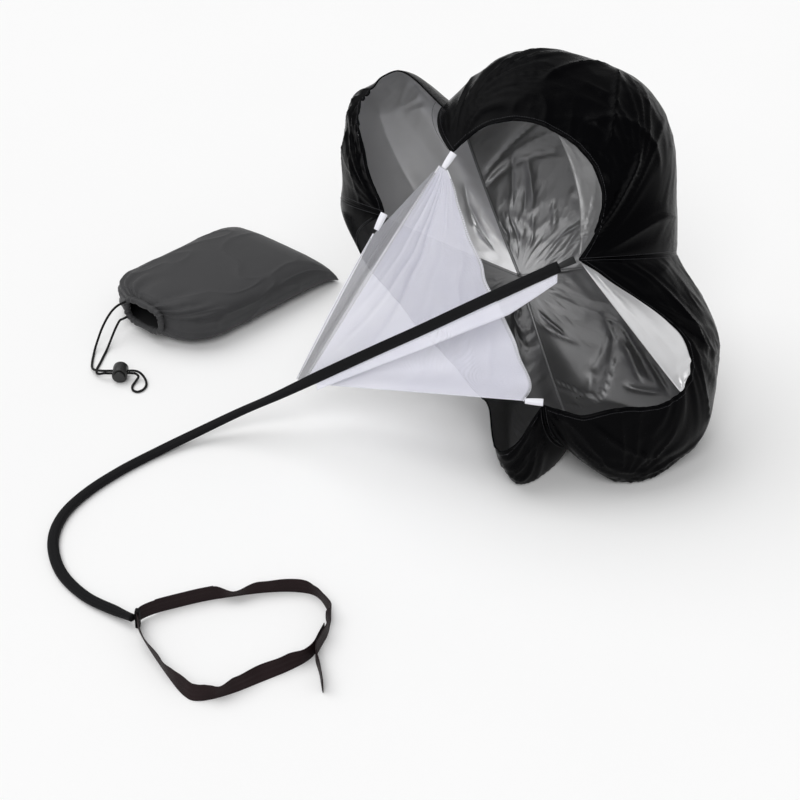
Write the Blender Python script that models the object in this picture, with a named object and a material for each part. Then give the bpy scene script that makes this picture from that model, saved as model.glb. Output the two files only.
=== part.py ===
import math

import bpy
from mathutils import Vector

# lengths in metres, +Z up, the floor is the plane Z = 0
# guide points are laid out about the middle of the group, then shifted to the frame's origin
SHIFT = (-0.007486, -0.170869, 0.0)

# shared clearances
FIT_GAP = 0.0004
CLOTH = 0.0016
FLOOR_GAP = 0.0002

# canopy
CANOPY_CENTRE = (0.2483, 0.2802, 0.3256)
CANOPY_RADIUS = 0.4065
CANOPY_DEPTH = 0.254
CROWN_RADIUS = 0.004
MOUTH_TILT = math.radians(33)
VENT_ANGLE = 0.5
SEAM_TURN_ANGLE = 70.0
CANOPY_ROWS = 10
HEM_END_SHARE = 0.15
FOLD_SHARE = 0.012
FOLD_WAVES = 3

SEAM_NAMES = ("upper_left", "right", "lower", "left")
LOBE_NAMES = ("top", "left", "lower", "right")

# each seam: compass angle where it leaves the outline, and where it meets the mouth
SEAM_ANGLES = {
    "upper_left": (112.0, 125.0),
    "right": (6.4, 3.0),
    "lower": (-73.0, -85.0),
    "left": (158.0, 161.0),
}

# each seam: the mouth's angle from the crown there
SEAM_MOUTHS = {"upper_left": 134.0, "right": 163.0, "lower": 131.0, "left": 131.0}

# each seam: its distance from the middle, in canopy radii
SEAM_RADIUS_SHARES = (0.8875, 0.73, 0.88, 0.9625)

# each lobe: its two seams in rising compass order, with the turns added to each
LOBE_SEAMS = {
    "top": (("right", 0), ("upper_left", 0)),
    "left": (("upper_left", 0), ("left", 0)),
    "lower": (("left", -360), ("lower", 0)),
    "right": (("lower", 0), ("right", 0)),
}

# each lobe: its distance from the middle between its seams, in canopy radii
LOBE_RADIUS_SHARES = (
    (0.7875, 0.9625, 1.0625, 1.06, 1.0125),
    (1.13, 1.16, 1.145, 1.08, 1.02),
    (0.825, 0.7125, 0.6625, 0.655, 0.6625, 0.67, 0.70, 1.0625),
    (1.155, 1.175, 1.11, 1.005, 0.85),
)

# each lobe: the mouth's angle from the crown between its seams
LOBE_MOUTHS = {
    "top": (157.5, 152.0, 147.0, 142.5, 139.5),
    "left": (91.0, 104.0, 119.0, 125.0, 129.0),
    "lower": (98.0, 76.0, 66.0, 60.0, 60.0, 68.0, 96.0, 124.0),
    "right": (141.5, 136.5, 124.0, 134.0, 157.0),
}
LOBE_COLUMNS = {"top": 18, "left": 14, "lower": 22, "right": 16}
HEM_WIDTHS = {"top": 0.030, "left": 0.012, "lower": 0.012, "right": 0.056}
HEM_PEAK_SHARES = (0.22, 0.5, 0.5, 0.70)

# corner tabs
TAB_LENGTH = 0.034
TAB_WIDTH = 0.014
TAB_END_SHARE = 0.3
TAB_THICKNESS = 0.003
TAB_GAP = 0.0010
TAB_LIFTS = {"upper_left": 0.0022, "right": 0.0026, "lower": 0.0022, "left": 0.0026}
TAB_RAISE = 0.45

# mesh panels
MESH_CLOTH = 0.0010
MESH_TAB_GAP = 0.0008
MESH_CORNER_GAPS = {"lower": 0.0045, "left": 0.0090}
MESH_COLUMNS = 8
MESH_ROWS = 14
MESH_HEM_WIDTH = 0.006
MESH_HEM_END_SHARE = 0.4
MESH_TOP_WIDTH = 0.014
GATHER_POINT = (-0.1910, 0.1941, 0.1131)
GATHER_SPREAD = 0.012
FRONT_HEM_GUIDE = [(0.1457, 0.1879, 0.3980), (0.2038, 0.1263, 0.2810), (0.2450, 0.0585, 0.2100)]
FRONT_PANEL_SAG = 0.050
SIDE_PANEL_SAG = 0.012
STRIP_DROP = 0.042
STRIP_END_DROP = 0.014
STRIP_OPENING_SHARE = 0.12
STRIP_LEAN = 0.25
STRIP_START_SHARE = 0.02
STRIP_END_SHARE = 0.36

# leash
LEASH_WIDTH = 0.022
LEASH_THICKNESS = 0.014
LEASH_GUIDE = [
    (0.1971, 0.0656, 0.4014), (0.1291, 0.0922, 0.3484), (0.0404, 0.1211, 0.2820),
    (-0.0507, 0.1501, 0.2164), (-0.1459, 0.1706, 0.1527), (-0.2405, 0.1796, 0.0952),
    (-0.3197, 0.1810, 0.0539), (-0.3995, 0.1597, 0.0224), (-0.4758, 0.1098, 0.0095),
    (-0.5484, 0.0409, 0.0073), (-0.6084, -0.0366, 0.0073), (-0.6437, -0.1124, 0.0073),
    (-0.6506, -0.1956, 0.0073), (-0.6249, -0.2854, 0.0073), (-0.5724, -0.3583, 0.0080),
    (-0.5107, -0.4087, 0.0130),
]
LEASH_END = (-0.4805, -0.4360, 0.0200)
LEASH_SIDES = 10
LEASH_RINGS = 60

# belt
BELT_WIDTH = 0.030
BELT_THICKNESS = 0.0024
BELT_GUIDE = [
    (-0.1346, -0.4636, 0.0000), (-0.1431, -0.4901, 0.0000), (-0.1516, -0.5166, 0.0000),
    (-0.1650, -0.5360, 0.0000), (-0.1930, -0.5600, 0.0000), (-0.2354, -0.5880, 0.0000),
    (-0.2936, -0.6240, 0.0000), (-0.3450, -0.6420, 0.0000), (-0.3740, -0.6260, 0.0000),
    (-0.4113, -0.5630, 0.0000), (-0.4500, -0.4880, 0.0016), (-0.4660, -0.4520, 0.0030),
    (-0.4690, -0.4360, 0.0030), (-0.4640, -0.4200, 0.0030), (-0.4400, -0.4010, 0.0018),
    (-0.3980, -0.3800, 0.0000), (-0.3384, -0.3581, 0.0000), (-0.2476, -0.3381, 0.0000),
    (-0.1834, -0.3371, 0.0000), (-0.1480, -0.3541, 0.0000), (-0.1262, -0.4072, 0.0000),
    (-0.1262, -0.4385, 0.0000), (-0.1302, -0.4650, 0.0000), (-0.1387, -0.4915, 0.0000),
    (-0.1472, -0.5180, 0.0000),
]
BELT_STEPS = 4
PATCH_THICKNESS = 0.0010
PATCH_SHARES = (0.1, 0.5, 0.9)
DOUBLER_FROM = 14
DOUBLER_TO = 16
LOOP_THICKNESS = 0.0020
LOOP_WIDTH = 0.014
LOOP_CLEARANCE = 0.0012
LOOP_CORNER_STEPS = 4
LOOP_INNER_CORNER = 0.0002
TAIL_GUIDE = [
    (-0.1476, -0.51905, 0.0000), (-0.1472, -0.5380, 0.0000), (-0.1400, -0.5712, 0.0000),
    (-0.1330, -0.6200, 0.0000),
]

# pouch
POUCH_MOUTH = (-0.540, 0.560, 0.0)
POUCH_END = (-0.2455, 0.8873, 0.0)
POUCH_WALL = 0.0020
POUCH_HALF_WIDTH = 0.147
POUCH_HALF_HEIGHT = 0.044
# along the pouch: how far as a share of its length, its width and its height as shares
POUCH_FORM_SHARES = [
    (0.00, 0.993, 0.14), (0.02, 1.0, 0.38), (0.06, 1.0, 0.64),
    (0.14, 1.0, 0.86), (0.30, 1.0, 0.98), (0.50, 0.99, 1.0),
    (0.80, 0.965, 1.04), (0.90, 0.92, 1.05), (0.955, 0.79, 1.0),
    (0.985, 0.56, 0.84), (1.0, 0.37, 0.638),
]
POUCH_RISE_SHARE = 0.70
POUCH_ROWS = 14
POUCH_SIDES = 28
POUCH_SQUARE = 3.3
MOUTH_HEIGHT = 0.055
CHANNEL_RADIUS = 0.0065
CHANNEL_SIDES = 8
CHANNEL_RUFFLES = 10
CHANNEL_RUFFLE_SHARE = 0.14

# cord lock
LOCK_CENTRE = (-0.582, 0.390, 0.0160)
LOCK_RADIUS = 0.0160
LOCK_LENGTH = 0.032
LOCK_BORE_RADIUS = 0.0118
LOCK_BORE_DEPTH = 0.0270
LOCK_SIDES = 32
PLUNGER_LENGTH = 0.0260
PLUNGER_TRAVEL = 0.0045
SPRING_WIRE = 0.0010
SPRING_RADIUS = 0.0070
SPRING_TURNS = 3
SPRING_TURN_STEPS = 12
SPRING_SPACE = 0.0065

# cord
CORD_DIAMETER = 0.0050
CORD_CLEARANCE = 0.0004
STRAND_OFFSET = 0.0031
EXIT_TURNS = (30.0, -35.0)
# where the strands pass the lock, in lock radii from its middle
THROUGH_SHARES = (-2.4, -1.7, -0.8, 0.8, 1.9)
RETURN_SHARES = (1.8, 0.6, -0.8, -1.65, -2.25)
EXIT_RUN_SHARES = (0.0, 2.0, 4.0)
CORD_POINTS = 80
CORD_OUT = [
    (-0.6110, 0.5520, 0.0690), (-0.6230, 0.5380, 0.0560), (-0.6340, 0.5250, 0.0370),
    (-0.6420, 0.5120, 0.0180), (-0.6470, 0.4960, 0.0060), (-0.6480, 0.4760, 0.0026),
    (-0.6480, 0.4540, 0.0026), (-0.6460, 0.4300, 0.0040), (-0.6380, 0.4060, 0.0120),
]
CORD_LOOP = [
    (-0.5400, 0.3880, 0.0150), (-0.5290, 0.3770, 0.0060), (-0.5260, 0.3600, 0.0026),
    (-0.5310, 0.3430, 0.0026), (-0.5420, 0.3350, 0.0026), (-0.5520, 0.3420, 0.0026),
    (-0.5540, 0.3580, 0.0030), (-0.5480, 0.3740, 0.0050), (-0.5440, 0.3850, 0.0100),
]
CORD_BACK = [
    (-0.6300, 0.3960, 0.0080), (-0.6350, 0.4200, 0.0026), (-0.6300, 0.4500, 0.0026),
    (-0.6260, 0.4760, 0.0026), (-0.6210, 0.5000, 0.0050), (-0.6150, 0.5230, 0.0140),
    (-0.6070, 0.5460, 0.0270),
]

COLOURS = {
    "canopy_nylon": (0.015, 0.015, 0.017, 1.0),
    "hem_band": (0.62, 0.62, 0.62, 1.0),
    "white_tape": (0.80, 0.80, 0.82, 1.0),
    "white_mesh": (0.84, 0.84, 0.90, 1.0),
    "leash_webbing": (0.012, 0.012, 0.014, 1.0),
    "belt_webbing": (0.035, 0.022, 0.024, 1.0),
    "hook_patch": (0.020, 0.018, 0.020, 1.0),
    "pouch_cloth": (0.055, 0.055, 0.058, 1.0),
    "drawcord": (0.010, 0.010, 0.010, 1.0),
    "lock_plastic": (0.012, 0.012, 0.012, 1.0),
    "spring_steel": (0.60, 0.60, 0.62, 1.0),
}
WORLD_UP = Vector((0.0, 0.0, 1.0))
MOUTH_AXIS = Vector((0.0, -math.cos(MOUTH_TILT), math.sin(MOUTH_TILT)))
MOUTH_UP = Vector((0.0, math.sin(MOUTH_TILT), math.cos(MOUTH_TILT)))
MOUTH_SIDE = Vector((1.0, 0.0, 0.0))


def clear_scene():
    for thing in list(bpy.data.objects):
        bpy.data.objects.remove(thing, do_unlink=True)


def material(slot):
    made = bpy.data.materials.get(slot)
    if made is None:
        made = bpy.data.materials.new(slot)
        made.use_nodes = True
        shader = made.node_tree.nodes["Principled BSDF"]
        shader.inputs["Base Color"].default_value = COLOURS[slot]
        shader.inputs["Roughness"].default_value = 0.7
        made.diffuse_color = COLOURS[slot]
    return made


def add_mesh(name, points, faces, slot):
    mesh = bpy.data.meshes.new(name)
    mesh.from_pydata([Vector(p) + Vector(SHIFT) for p in points], [], faces)
    mesh.validate()
    made = bpy.data.objects.new(name, mesh)
    bpy.context.scene.collection.objects.link(made)
    made.data.materials.append(material(slot))
    return made


def spline(values, at):
    """A smooth curve through evenly spaced values, read at a share of its length."""
    last = len(values) - 1
    place = min(max(at, 0.0), 1.0) * last
    index = min(int(place), last - 1)
    part = place - index
    before = values[max(index - 1, 0)]
    start = values[index]
    end = values[index + 1]
    after = values[min(index + 2, last)]
    slope_in = (end - before) * 0.5
    slope_out = (after - start) * 0.5
    square = part * part
    cube = square * part
    return (
        start * (2 * cube - 3 * square + 1)
        + slope_in * (cube - 2 * square + part)
        + end * (3 * square - 2 * cube)
        + slope_out * (cube - square)
    )


def smooth_path(guide, steps):
    points = [Vector(p) for p in guide]
    count = (len(points) - 1) * steps
    return [spline(points, i / count) for i in range(count + 1)]


def even_path(guide, count):
    """A smooth path through the guide points, cut into equal lengths."""
    fine = smooth_path(guide, 24)
    reach = [0.0]
    for a, b in zip(fine, fine[1:]):
        reach.append(reach[-1] + (b - a).length)
    out = []
    index = 0
    for i in range(count + 1):
        want = reach[-1] * i / count
        while index < len(reach) - 2 and reach[index + 1] < want:
            index += 1
        span = reach[index + 1] - reach[index]
        out.append(fine[index].lerp(fine[index + 1], (want - reach[index]) / span))
    return out


def above_floor(path, height):
    return [Vector((p.x, p.y, max(p.z, height))) for p in path]


def tangents(path):
    last = len(path) - 1
    return [(path[min(i + 1, last)] - path[max(i - 1, 0)]).normalized() for i in range(last + 1)]


def slab(name, front, back, slot):
    """A closed sheet between two grids of points that face each other."""
    rows = len(front)
    columns = len(front[0])
    points = [p for row in front for p in row] + [p for row in back for p in row]
    base = rows * columns
    faces = []
    for r in range(rows - 1):
        for c in range(columns - 1):
            a = r * columns + c
            b = a + 1
            d = a + columns
            e = d + 1
            faces.append((a, b, e, d))
            faces.append((base + a, base + d, base + e, base + b))
    rim = [c for c in range(columns)]
    rim += [r * columns + columns - 1 for r in range(1, rows)]
    rim += [(rows - 1) * columns + c for c in range(columns - 2, -1, -1)]
    rim += [r * columns for r in range(rows - 2, 0, -1)]
    for a, b in zip(rim, rim[1:] + rim[:1]):
        faces.append((b, a, base + a, base + b))
    return face_out(add_mesh(name, points, faces, slot))


def sweep(name, rings, slot, closed=False):
    """A closed solid through rings of points, capped at both ends or joined in a loop."""
    sides = len(rings[0])
    count = len(rings)
    points = [p for ring in rings for p in ring]
    faces = []
    for r in range(count if closed else count - 1):
        here = r * sides
        there = ((r + 1) % count) * sides
        for s in range(sides):
            after = (s + 1) % sides
            faces.append((here + s, here + after, there + after, there + s))
    if not closed:
        faces.append(tuple(range(sides - 1, -1, -1)))
        faces.append(tuple((count - 1) * sides + s for s in range(sides)))
    return face_out(add_mesh(name, points, faces, slot))


def face_out(made):
    """Turns the solid inside out if its signed volume is negative."""
    mesh = made.data
    total = 0.0
    for polygon in mesh.polygons:
        corners = [mesh.vertices[i].co for i in polygon.vertices]
        for b, c in zip(corners[1:], corners[2:]):
            total += corners[0].dot(b.cross(c))
    if total < 0.0:
        mesh.flip_normals()
    return made


# canopy surface
def seam_turn(seam, fullness):
    outline, mouth = SEAM_ANGLES[seam]
    share = (fullness - SEAM_TURN_ANGLE) / (SEAM_MOUTHS[seam] - SEAM_TURN_ANGLE)
    share = min(max(share, 0.0), 1.0)
    return outline + (mouth - outline) * share * share * (3 - 2 * share)


def seam_radius(seam):
    return SEAM_RADIUS_SHARES[SEAM_NAMES.index(seam)] * CANOPY_RADIUS


def canopy_point(compass, fullness, radius, depth_in):
    """A point of the cloth by compass angle and angle from the crown, flat where it lies on the floor."""
    turn = math.radians(compass)
    full = math.radians(fullness)
    across = MOUTH_SIDE * math.cos(turn) + MOUTH_UP * math.sin(turn)
    out = radius * math.sin(full)
    along = -CANOPY_DEPTH * math.cos(full)
    normal = across * (math.sin(full) / radius) - MOUTH_AXIS * (math.cos(full) / CANOPY_DEPTH)
    point = Vector(CANOPY_CENTRE) + across * out + MOUTH_AXIS * along - normal.normalized() * depth_in
    point.z = max(point.z, depth_in)
    return point


def lobe_radius(lobe, share):
    first, second = LOBE_SEAMS[lobe]
    between = [part * CANOPY_RADIUS for part in LOBE_RADIUS_SHARES[LOBE_NAMES.index(lobe)]]
    return spline([seam_radius(first[0])] + between + [seam_radius(second[0])], share)


def lobe_mouth(lobe, share):
    first, second = LOBE_SEAMS[lobe]
    return spline([SEAM_MOUTHS[first[0]]] + list(LOBE_MOUTHS[lobe]) + [SEAM_MOUTHS[second[0]]], share)


def lobe_point(lobe, share, fullness, depth_in):
    first, second = LOBE_SEAMS[lobe]
    radius = lobe_radius(lobe, share)
    folds = FOLD_SHARE * math.sin(math.pi * share) * math.sin(2 * math.pi * FOLD_WAVES * share)
    radius *= 1 + folds * math.sin(math.radians(fullness)) ** 2
    around = max(radius * math.sin(math.radians(fullness)), CROWN_RADIUS)
    gap = math.degrees(FIT_GAP * 0.5 / around)
    start = seam_turn(first[0], fullness) + first[1] + gap
    end = seam_turn(second[0], fullness) + second[1] - gap
    return canopy_point(start + (end - start) * share, fullness, radius, depth_in)


def degrees_for(lobe, share, fullness, length):
    radius = lobe_radius(lobe, share)
    full = math.radians(fullness)
    speed = math.hypot(radius * math.cos(full), CANOPY_DEPTH * math.sin(full))
    return math.degrees(length / speed)


def lobe_grid(lobe, starts, ends, rows, depth_in):
    columns = LOBE_COLUMNS[lobe]
    grid = []
    for r in range(rows + 1):
        row = []
        for c in range(columns + 1):
            fullness = starts[c] + (ends[c] - starts[c]) * r / rows
            row.append(lobe_point(lobe, c / columns, fullness, depth_in))
        grid.append(row)
    return grid


def hem_width(lobe, share):
    """Widest where the lobe's hem peaks, and narrow at both seams."""
    peak = HEM_PEAK_SHARES[LOBE_NAMES.index(lobe)]
    bump = math.sin(math.pi * share ** (math.log(0.5) / math.log(peak)))
    return HEM_WIDTHS[lobe] * (HEM_END_SHARE + (1 - HEM_END_SHARE) * bump)


def lobe_edges(lobe):
    """The fullness at the lobe's mouth edge, the hem's near edge and the hem's far edge, per column."""
    columns = LOBE_COLUMNS[lobe]
    mouth = []
    near = []
    far = []
    for c in range(columns + 1):
        share = c / columns
        edge = lobe_mouth(lobe, share)
        mouth.append(edge)
        near.append(edge + degrees_for(lobe, share, edge, FIT_GAP))
        far.append(edge + degrees_for(lobe, share, edge, FIT_GAP + hem_width(lobe, share)))
    return mouth, near, far


def build_canopy():
    for lobe in LOBE_SEAMS:
        mouth, near, far = lobe_edges(lobe)
        crown = [VENT_ANGLE] * len(mouth)
        outer = lobe_grid(lobe, crown, mouth, CANOPY_ROWS, 0.0)
        inner = lobe_grid(lobe, crown, mouth, CANOPY_ROWS, CLOTH)
        slab("canopy_" + lobe + "_lobe", outer, inner, "canopy_nylon")
        outer = lobe_grid(lobe, near, far, 1, 0.0)
        inner = lobe_grid(lobe, near, far, 1, CLOTH)
        slab("hem_" + lobe + "_lobe", outer, inner, "hem_band")


def corner_point(seam):
    """The mouth's corner at a seam, past the hems that end there."""
    mouth = SEAM_MOUTHS[seam]
    radius = seam_radius(seam)
    lobes = [name for name, seams in LOBE_SEAMS.items() if seam in (seams[0][0], seams[1][0])]
    widest = max(hem_width(name, 0.0) for name in lobes)
    full = math.radians(mouth)
    speed = math.hypot(radius * math.cos(full), CANOPY_DEPTH * math.sin(full))
    fullness = mouth + math.degrees((widest + FIT_GAP + TAB_GAP) / speed)
    return canopy_point(seam_turn(seam, fullness), fullness, radius, -TAB_LIFTS[seam])


def tab_line(seam, toward):
    start = corner_point(seam)
    along = ((Vector(toward) - start).normalized() + MOUTH_AXIS * TAB_RAISE).normalized()
    return start, start + along * TAB_LENGTH, along


def build_tab(seam, toward):
    start, end, along = tab_line(seam, toward)
    side = along.cross(MOUTH_AXIS).normalized()
    face = side.cross(along).normalized()
    front = []
    back = []
    for p, share in ((start, 1.0), (start.lerp(end, 0.5), 1.0), (end, TAB_END_SHARE)):
        half = side * (TAB_WIDTH * share * 0.5)
        front.append([p - half + face * (TAB_THICKNESS * 0.5), p + half + face * (TAB_THICKNESS * 0.5)])
        back.append([p - half - face * (TAB_THICKNESS * 0.5), p + half - face * (TAB_THICKNESS * 0.5)])
    slab("corner_tab_" + seam, front, back, "white_tape")


# mesh panels
def panel_grid(left, right, sag_by, sag_toward):
    grid = []
    rows = len(left)
    for r in range(rows):
        row = []
        for c in range(MESH_COLUMNS + 1):
            share = c / MESH_COLUMNS
            sag = sag_by * math.sin(math.pi * share) * math.sin(math.pi * r / (rows - 1)) ** 0.7
            row.append(left[r].lerp(right[r], share) + sag_toward * sag)
        grid.append(row)
    return grid


def shifted(grid, by):
    return [[p + by for p in row] for row in grid]


def edge_band(grid, column, aim, width):
    """A narrow strip beside one edge of a grid: near and far lines of points."""
    line = [row[column] for row in grid]
    runs = tangents(line)
    near = []
    far = []
    last = len(grid) - 1
    for r, (row, run) in enumerate(zip(grid, runs)):
        out = (aim - run * aim.dot(run)).normalized()
        wide = width * (MESH_HEM_END_SHARE + (1 - MESH_HEM_END_SHARE) * math.sin(math.pi * r / last))
        near.append(row[column] + out * FIT_GAP)
        far.append(row[column] + out * (FIT_GAP + wide))
    return near, far


def band_solid(name, near, far, step, slot):
    """A flat strip between two lines of points, as thick as the step."""
    back = [[a, b] for a, b in zip(near, far)]
    slab(name, shifted(back, step), back, slot)


def build_mesh():
    toward = -MOUTH_AXIS
    tab_end = tab_line("upper_left", GATHER_POINT)[1]
    along = tab_line("upper_left", GATHER_POINT)[2]
    side = along.cross(MOUTH_AXIS).normalized()
    tip = tab_end + along * MESH_TAB_GAP
    low = tab_line("lower", GATHER_POINT)
    low_end = low[1] + low[2] * MESH_CORNER_GAPS["lower"]
    far_left = tab_line("left", GATHER_POINT)
    far_end = far_left[1] + far_left[2] * MESH_CORNER_GAPS["left"]
    left_side = side if side.x < 0 else -side
    front_left = even_path([tip + left_side * MESH_TOP_WIDTH * 0.5, Vector(GATHER_POINT)], MESH_ROWS)
    front_top = tip - left_side * MESH_TOP_WIDTH * 0.5
    front_right = even_path([front_top] + FRONT_HEM_GUIDE + [low_end], MESH_ROWS)
    grid = panel_grid(front_left, front_right, FRONT_PANEL_SAG, toward)
    slab("mesh_front_panel", shifted(grid, MOUTH_AXIS * MESH_CLOTH), grid, "white_mesh")
    near, far = edge_band(grid, MESH_COLUMNS, -left_side, MESH_HEM_WIDTH)
    band_solid("mesh_front_hem", near, far, MOUTH_AXIS * MESH_CLOTH, "white_tape")
    near, far = edge_band(grid, 0, left_side, MESH_HEM_WIDTH)
    band_solid("mesh_ridge_tape", near, far, MOUTH_AXIS * MESH_CLOTH, "white_tape")
    side_right = [p + (p - q).normalized() * FIT_GAP for p, q in zip(far, near)]
    side_left = even_path([far_end, side_right[-1] + left_side * GATHER_SPREAD], MESH_ROWS)
    grid = panel_grid(side_left, side_right, SIDE_PANEL_SAG, toward)
    slab("mesh_side_panel", shifted(grid, MOUTH_AXIS * MESH_CLOTH), grid, "white_mesh")
    near, far = edge_band(grid, 0, left_side, MESH_HEM_WIDTH)
    band_solid("mesh_side_hem", near, far, MOUTH_AXIS * MESH_CLOTH, "white_tape")


# leash
def leash_path():
    start, end, along = tab_line("right", LEASH_GUIDE[0])
    path = even_path([end + along * TAB_GAP] + LEASH_GUIDE + [LEASH_END], LEASH_RINGS)
    return above_floor(path, LEASH_THICKNESS * 0.5 + FLOOR_GAP)


def leash_wide_axis(run, share):
    """Across the leash: facing out where it hangs, flat where it lies on the floor."""
    facing = run.cross(MOUTH_AXIS).normalized()
    flat = run.cross(WORLD_UP).normalized()
    if facing.dot(flat) < 0:
        flat = -flat
    blend = min(max((share - 0.30) / 0.16, 0.0), 1.0)
    blend = blend * blend * (3 - 2 * blend)
    return facing.lerp(flat, blend).normalized()


def build_leash():
    path = leash_path()
    runs = tangents(path)
    rings = []
    for i, (p, run) in enumerate(zip(path, runs)):
        wide = leash_wide_axis(run, i / LEASH_RINGS)
        wide = (wide - run * wide.dot(run)).normalized()
        thin = wide.cross(run).normalized()
        ring = []
        for s in range(LEASH_SIDES):
            turn = 2 * math.pi * s / LEASH_SIDES
            across = wide * (LEASH_WIDTH * 0.5 * math.cos(turn))
            ring.append(p + across + thin * (LEASH_THICKNESS * 0.5 * math.sin(turn)))
        rings.append(ring)
    sweep("leash_webbing", rings, "leash_webbing")


def build_leash_strip():
    path = leash_path()
    runs = tangents(path)
    first = int(LEASH_RINGS * STRIP_START_SHARE)
    last = int(LEASH_RINGS * STRIP_END_SHARE)
    near = []
    far = []
    for i in range(first, last + 1):
        wide = leash_wide_axis(runs[i], i / LEASH_RINGS)
        low = wide if wide.z < 0 else -wide
        share = (i - first) / (last - first)
        opening = min(MESH_HEM_END_SHARE + share / STRIP_OPENING_SHARE, 1.0)
        drop = (STRIP_DROP + (STRIP_END_DROP - STRIP_DROP) * share) * opening
        top = path[i] + low * (LEASH_WIDTH * 0.5 + FIT_GAP * 2)
        down = (-WORLD_UP + MOUTH_AXIS * STRIP_LEAN).normalized()
        near.append(top)
        far.append(top + down * drop)
    band_solid("mesh_leash_strip", near, far, MOUTH_AXIS * MESH_CLOTH, "white_mesh")


# belt
def upright_strip(name, path, offset, thickness, low, high, slot):
    """A strip that stands on its edge along a path, moved sideways by an offset."""
    rings = []
    for p, run in zip(path, tangents(path)):
        side = run.cross(WORLD_UP).normalized()
        inner = p + side * (offset - thickness * 0.5)
        outer = p + side * (offset + thickness * 0.5)
        bottom = WORLD_UP * low
        top = WORLD_UP * high
        rings.append([inner + bottom, outer + bottom, outer + top, inner + top])
    return sweep(name, rings, slot)


def build_belt():
    path = above_floor(smooth_path(BELT_GUIDE, BELT_STEPS), 0.0)
    upright_strip("belt_webbing", path, 0.0, BELT_THICKNESS, 0.0, BELT_WIDTH, "belt_webbing")
    away = BELT_THICKNESS * 0.5 + FIT_GAP + PATCH_THICKNESS * 0.5
    first = DOUBLER_FROM * BELT_STEPS
    last = DOUBLER_TO * BELT_STEPS
    doubled = path[first:last + 1]
    upright_strip("belt_doubler", doubled, -away, PATCH_THICKNESS, 0.0, BELT_WIDTH, "belt_webbing")


def build_belt_closure():
    """The hook patch between the belt's two overlapping ends."""
    path = above_floor(smooth_path(BELT_GUIDE, BELT_STEPS), 0.0)
    end = path[-1]
    start = path[0]
    back = (path[-1 - 2 * BELT_STEPS] - end).normalized()
    across = WORLD_UP.cross(back).normalized()
    gap = (start - end).dot(across)
    middle = across * (gap * 0.5)
    length = (start - end).dot(back)
    ring_at = [end + middle + back * (length * share) for share in PATCH_SHARES]
    top = BELT_WIDTH - FIT_GAP
    upright_strip("belt_hook_patch", ring_at, 0.0, PATCH_THICKNESS, FIT_GAP, top, "hook_patch")
    tail = above_floor(smooth_path(TAIL_GUIDE, BELT_STEPS), 0.0)
    upright_strip("belt_tail", tail, 0.0, BELT_THICKNESS, 0.0, BELT_WIDTH, "belt_webbing")


def build_belt_loop():
    path = above_floor(smooth_path(BELT_GUIDE, BELT_STEPS), 0.0)
    index = 12 * BELT_STEPS
    centre = path[index]
    run = (path[index + 1] - path[index - 1]).normalized()
    side = run.cross(WORLD_UP).normalized()
    half_in = BELT_THICKNESS * 0.5 + LOOP_CLEARANCE
    low = LOOP_THICKNESS
    high = centre.z + BELT_WIDTH + LOOP_CLEARANCE
    corner = LOOP_THICKNESS
    middle = Vector((centre.x, centre.y, 0.0))
    rings = []
    corners = [(half_in, high, 0), (-half_in, high, 90), (-half_in, low, 180), (half_in, low, 270)]
    for across, height, turn in corners:
        for step in range(LOOP_CORNER_STEPS + 1):
            angle = math.radians(turn + 90 * step / LOOP_CORNER_STEPS)
            aim = side * math.cos(angle) + WORLD_UP * math.sin(angle)
            inner = middle + side * across + WORLD_UP * height + aim * LOOP_INNER_CORNER
            outer = middle + side * across + WORLD_UP * height + aim * corner
            near = run * (-LOOP_WIDTH * 0.5)
            far = run * (LOOP_WIDTH * 0.5)
            rings.append([inner + near, outer + near, outer + far, inner + far])
    sweep("leash_belt_loop", rings, "leash_webbing", closed=True)


# pouch
def pouch_axis():
    start = Vector(POUCH_END)
    end = Vector(POUCH_MOUTH)
    along = (end - start).normalized()
    return start, along, (end - start).length


def pouch_size(share):
    """Half the pouch's width and height at a share of its length."""
    for (a, width_a, height_a), (b, width_b, height_b) in zip(POUCH_FORM_SHARES, POUCH_FORM_SHARES[1:]):
        part = min((share - a) / (b - a), 1.0)
        width = POUCH_HALF_WIDTH * (width_a + (width_b - width_a) * part)
        height = POUCH_HALF_HEIGHT * (height_a + (height_b - height_a) * part)
        if share <= b:
            break
    return width, height


def pouch_middle(share, height):
    """The height of the pouch's middle, which climbs to its mouth."""
    rise = min(max((share - POUCH_RISE_SHARE) / (1 - POUCH_RISE_SHARE), 0.0), 1.0)
    return height + (MOUTH_HEIGHT - height) * rise * rise


def squared(turn):
    """A point of the pouch's section, which is between an ellipse and a rectangle."""
    power = 2 / POUCH_SQUARE
    across = math.copysign(abs(math.cos(turn)) ** power, math.cos(turn))
    return across, math.copysign(abs(math.sin(turn)) ** power, math.sin(turn))


def pouch_ring(share, inset):
    start, along, length = pouch_axis()
    side = along.cross(WORLD_UP).normalized()
    width, height = pouch_size(share)
    middle = pouch_middle(share, height)
    ring = []
    for s in range(POUCH_SIDES):
        turn = 2 * math.pi * s / POUCH_SIDES
        across, up = squared(turn)
        place = start + along * (length * share) + side * (across * (width - inset))
        ring.append(place + WORLD_UP * (middle + up * (height - inset)))
    return ring


def build_pouch():
    top = POUCH_FORM_SHARES[-1][0]
    start = POUCH_WALL / pouch_axis()[2]
    shares = [top * (1 - (1 - i / POUCH_ROWS) ** 1.35) for i in range(POUCH_ROWS + 1)]
    outer = [pouch_ring(share, 0.0) for share in shares]
    inner = [pouch_ring(start, POUCH_WALL)]
    inner += [pouch_ring(share, POUCH_WALL) for share in shares if share > start * 1.5]
    sweep("pouch_body", outer + inner[::-1], "pouch_cloth")


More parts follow.
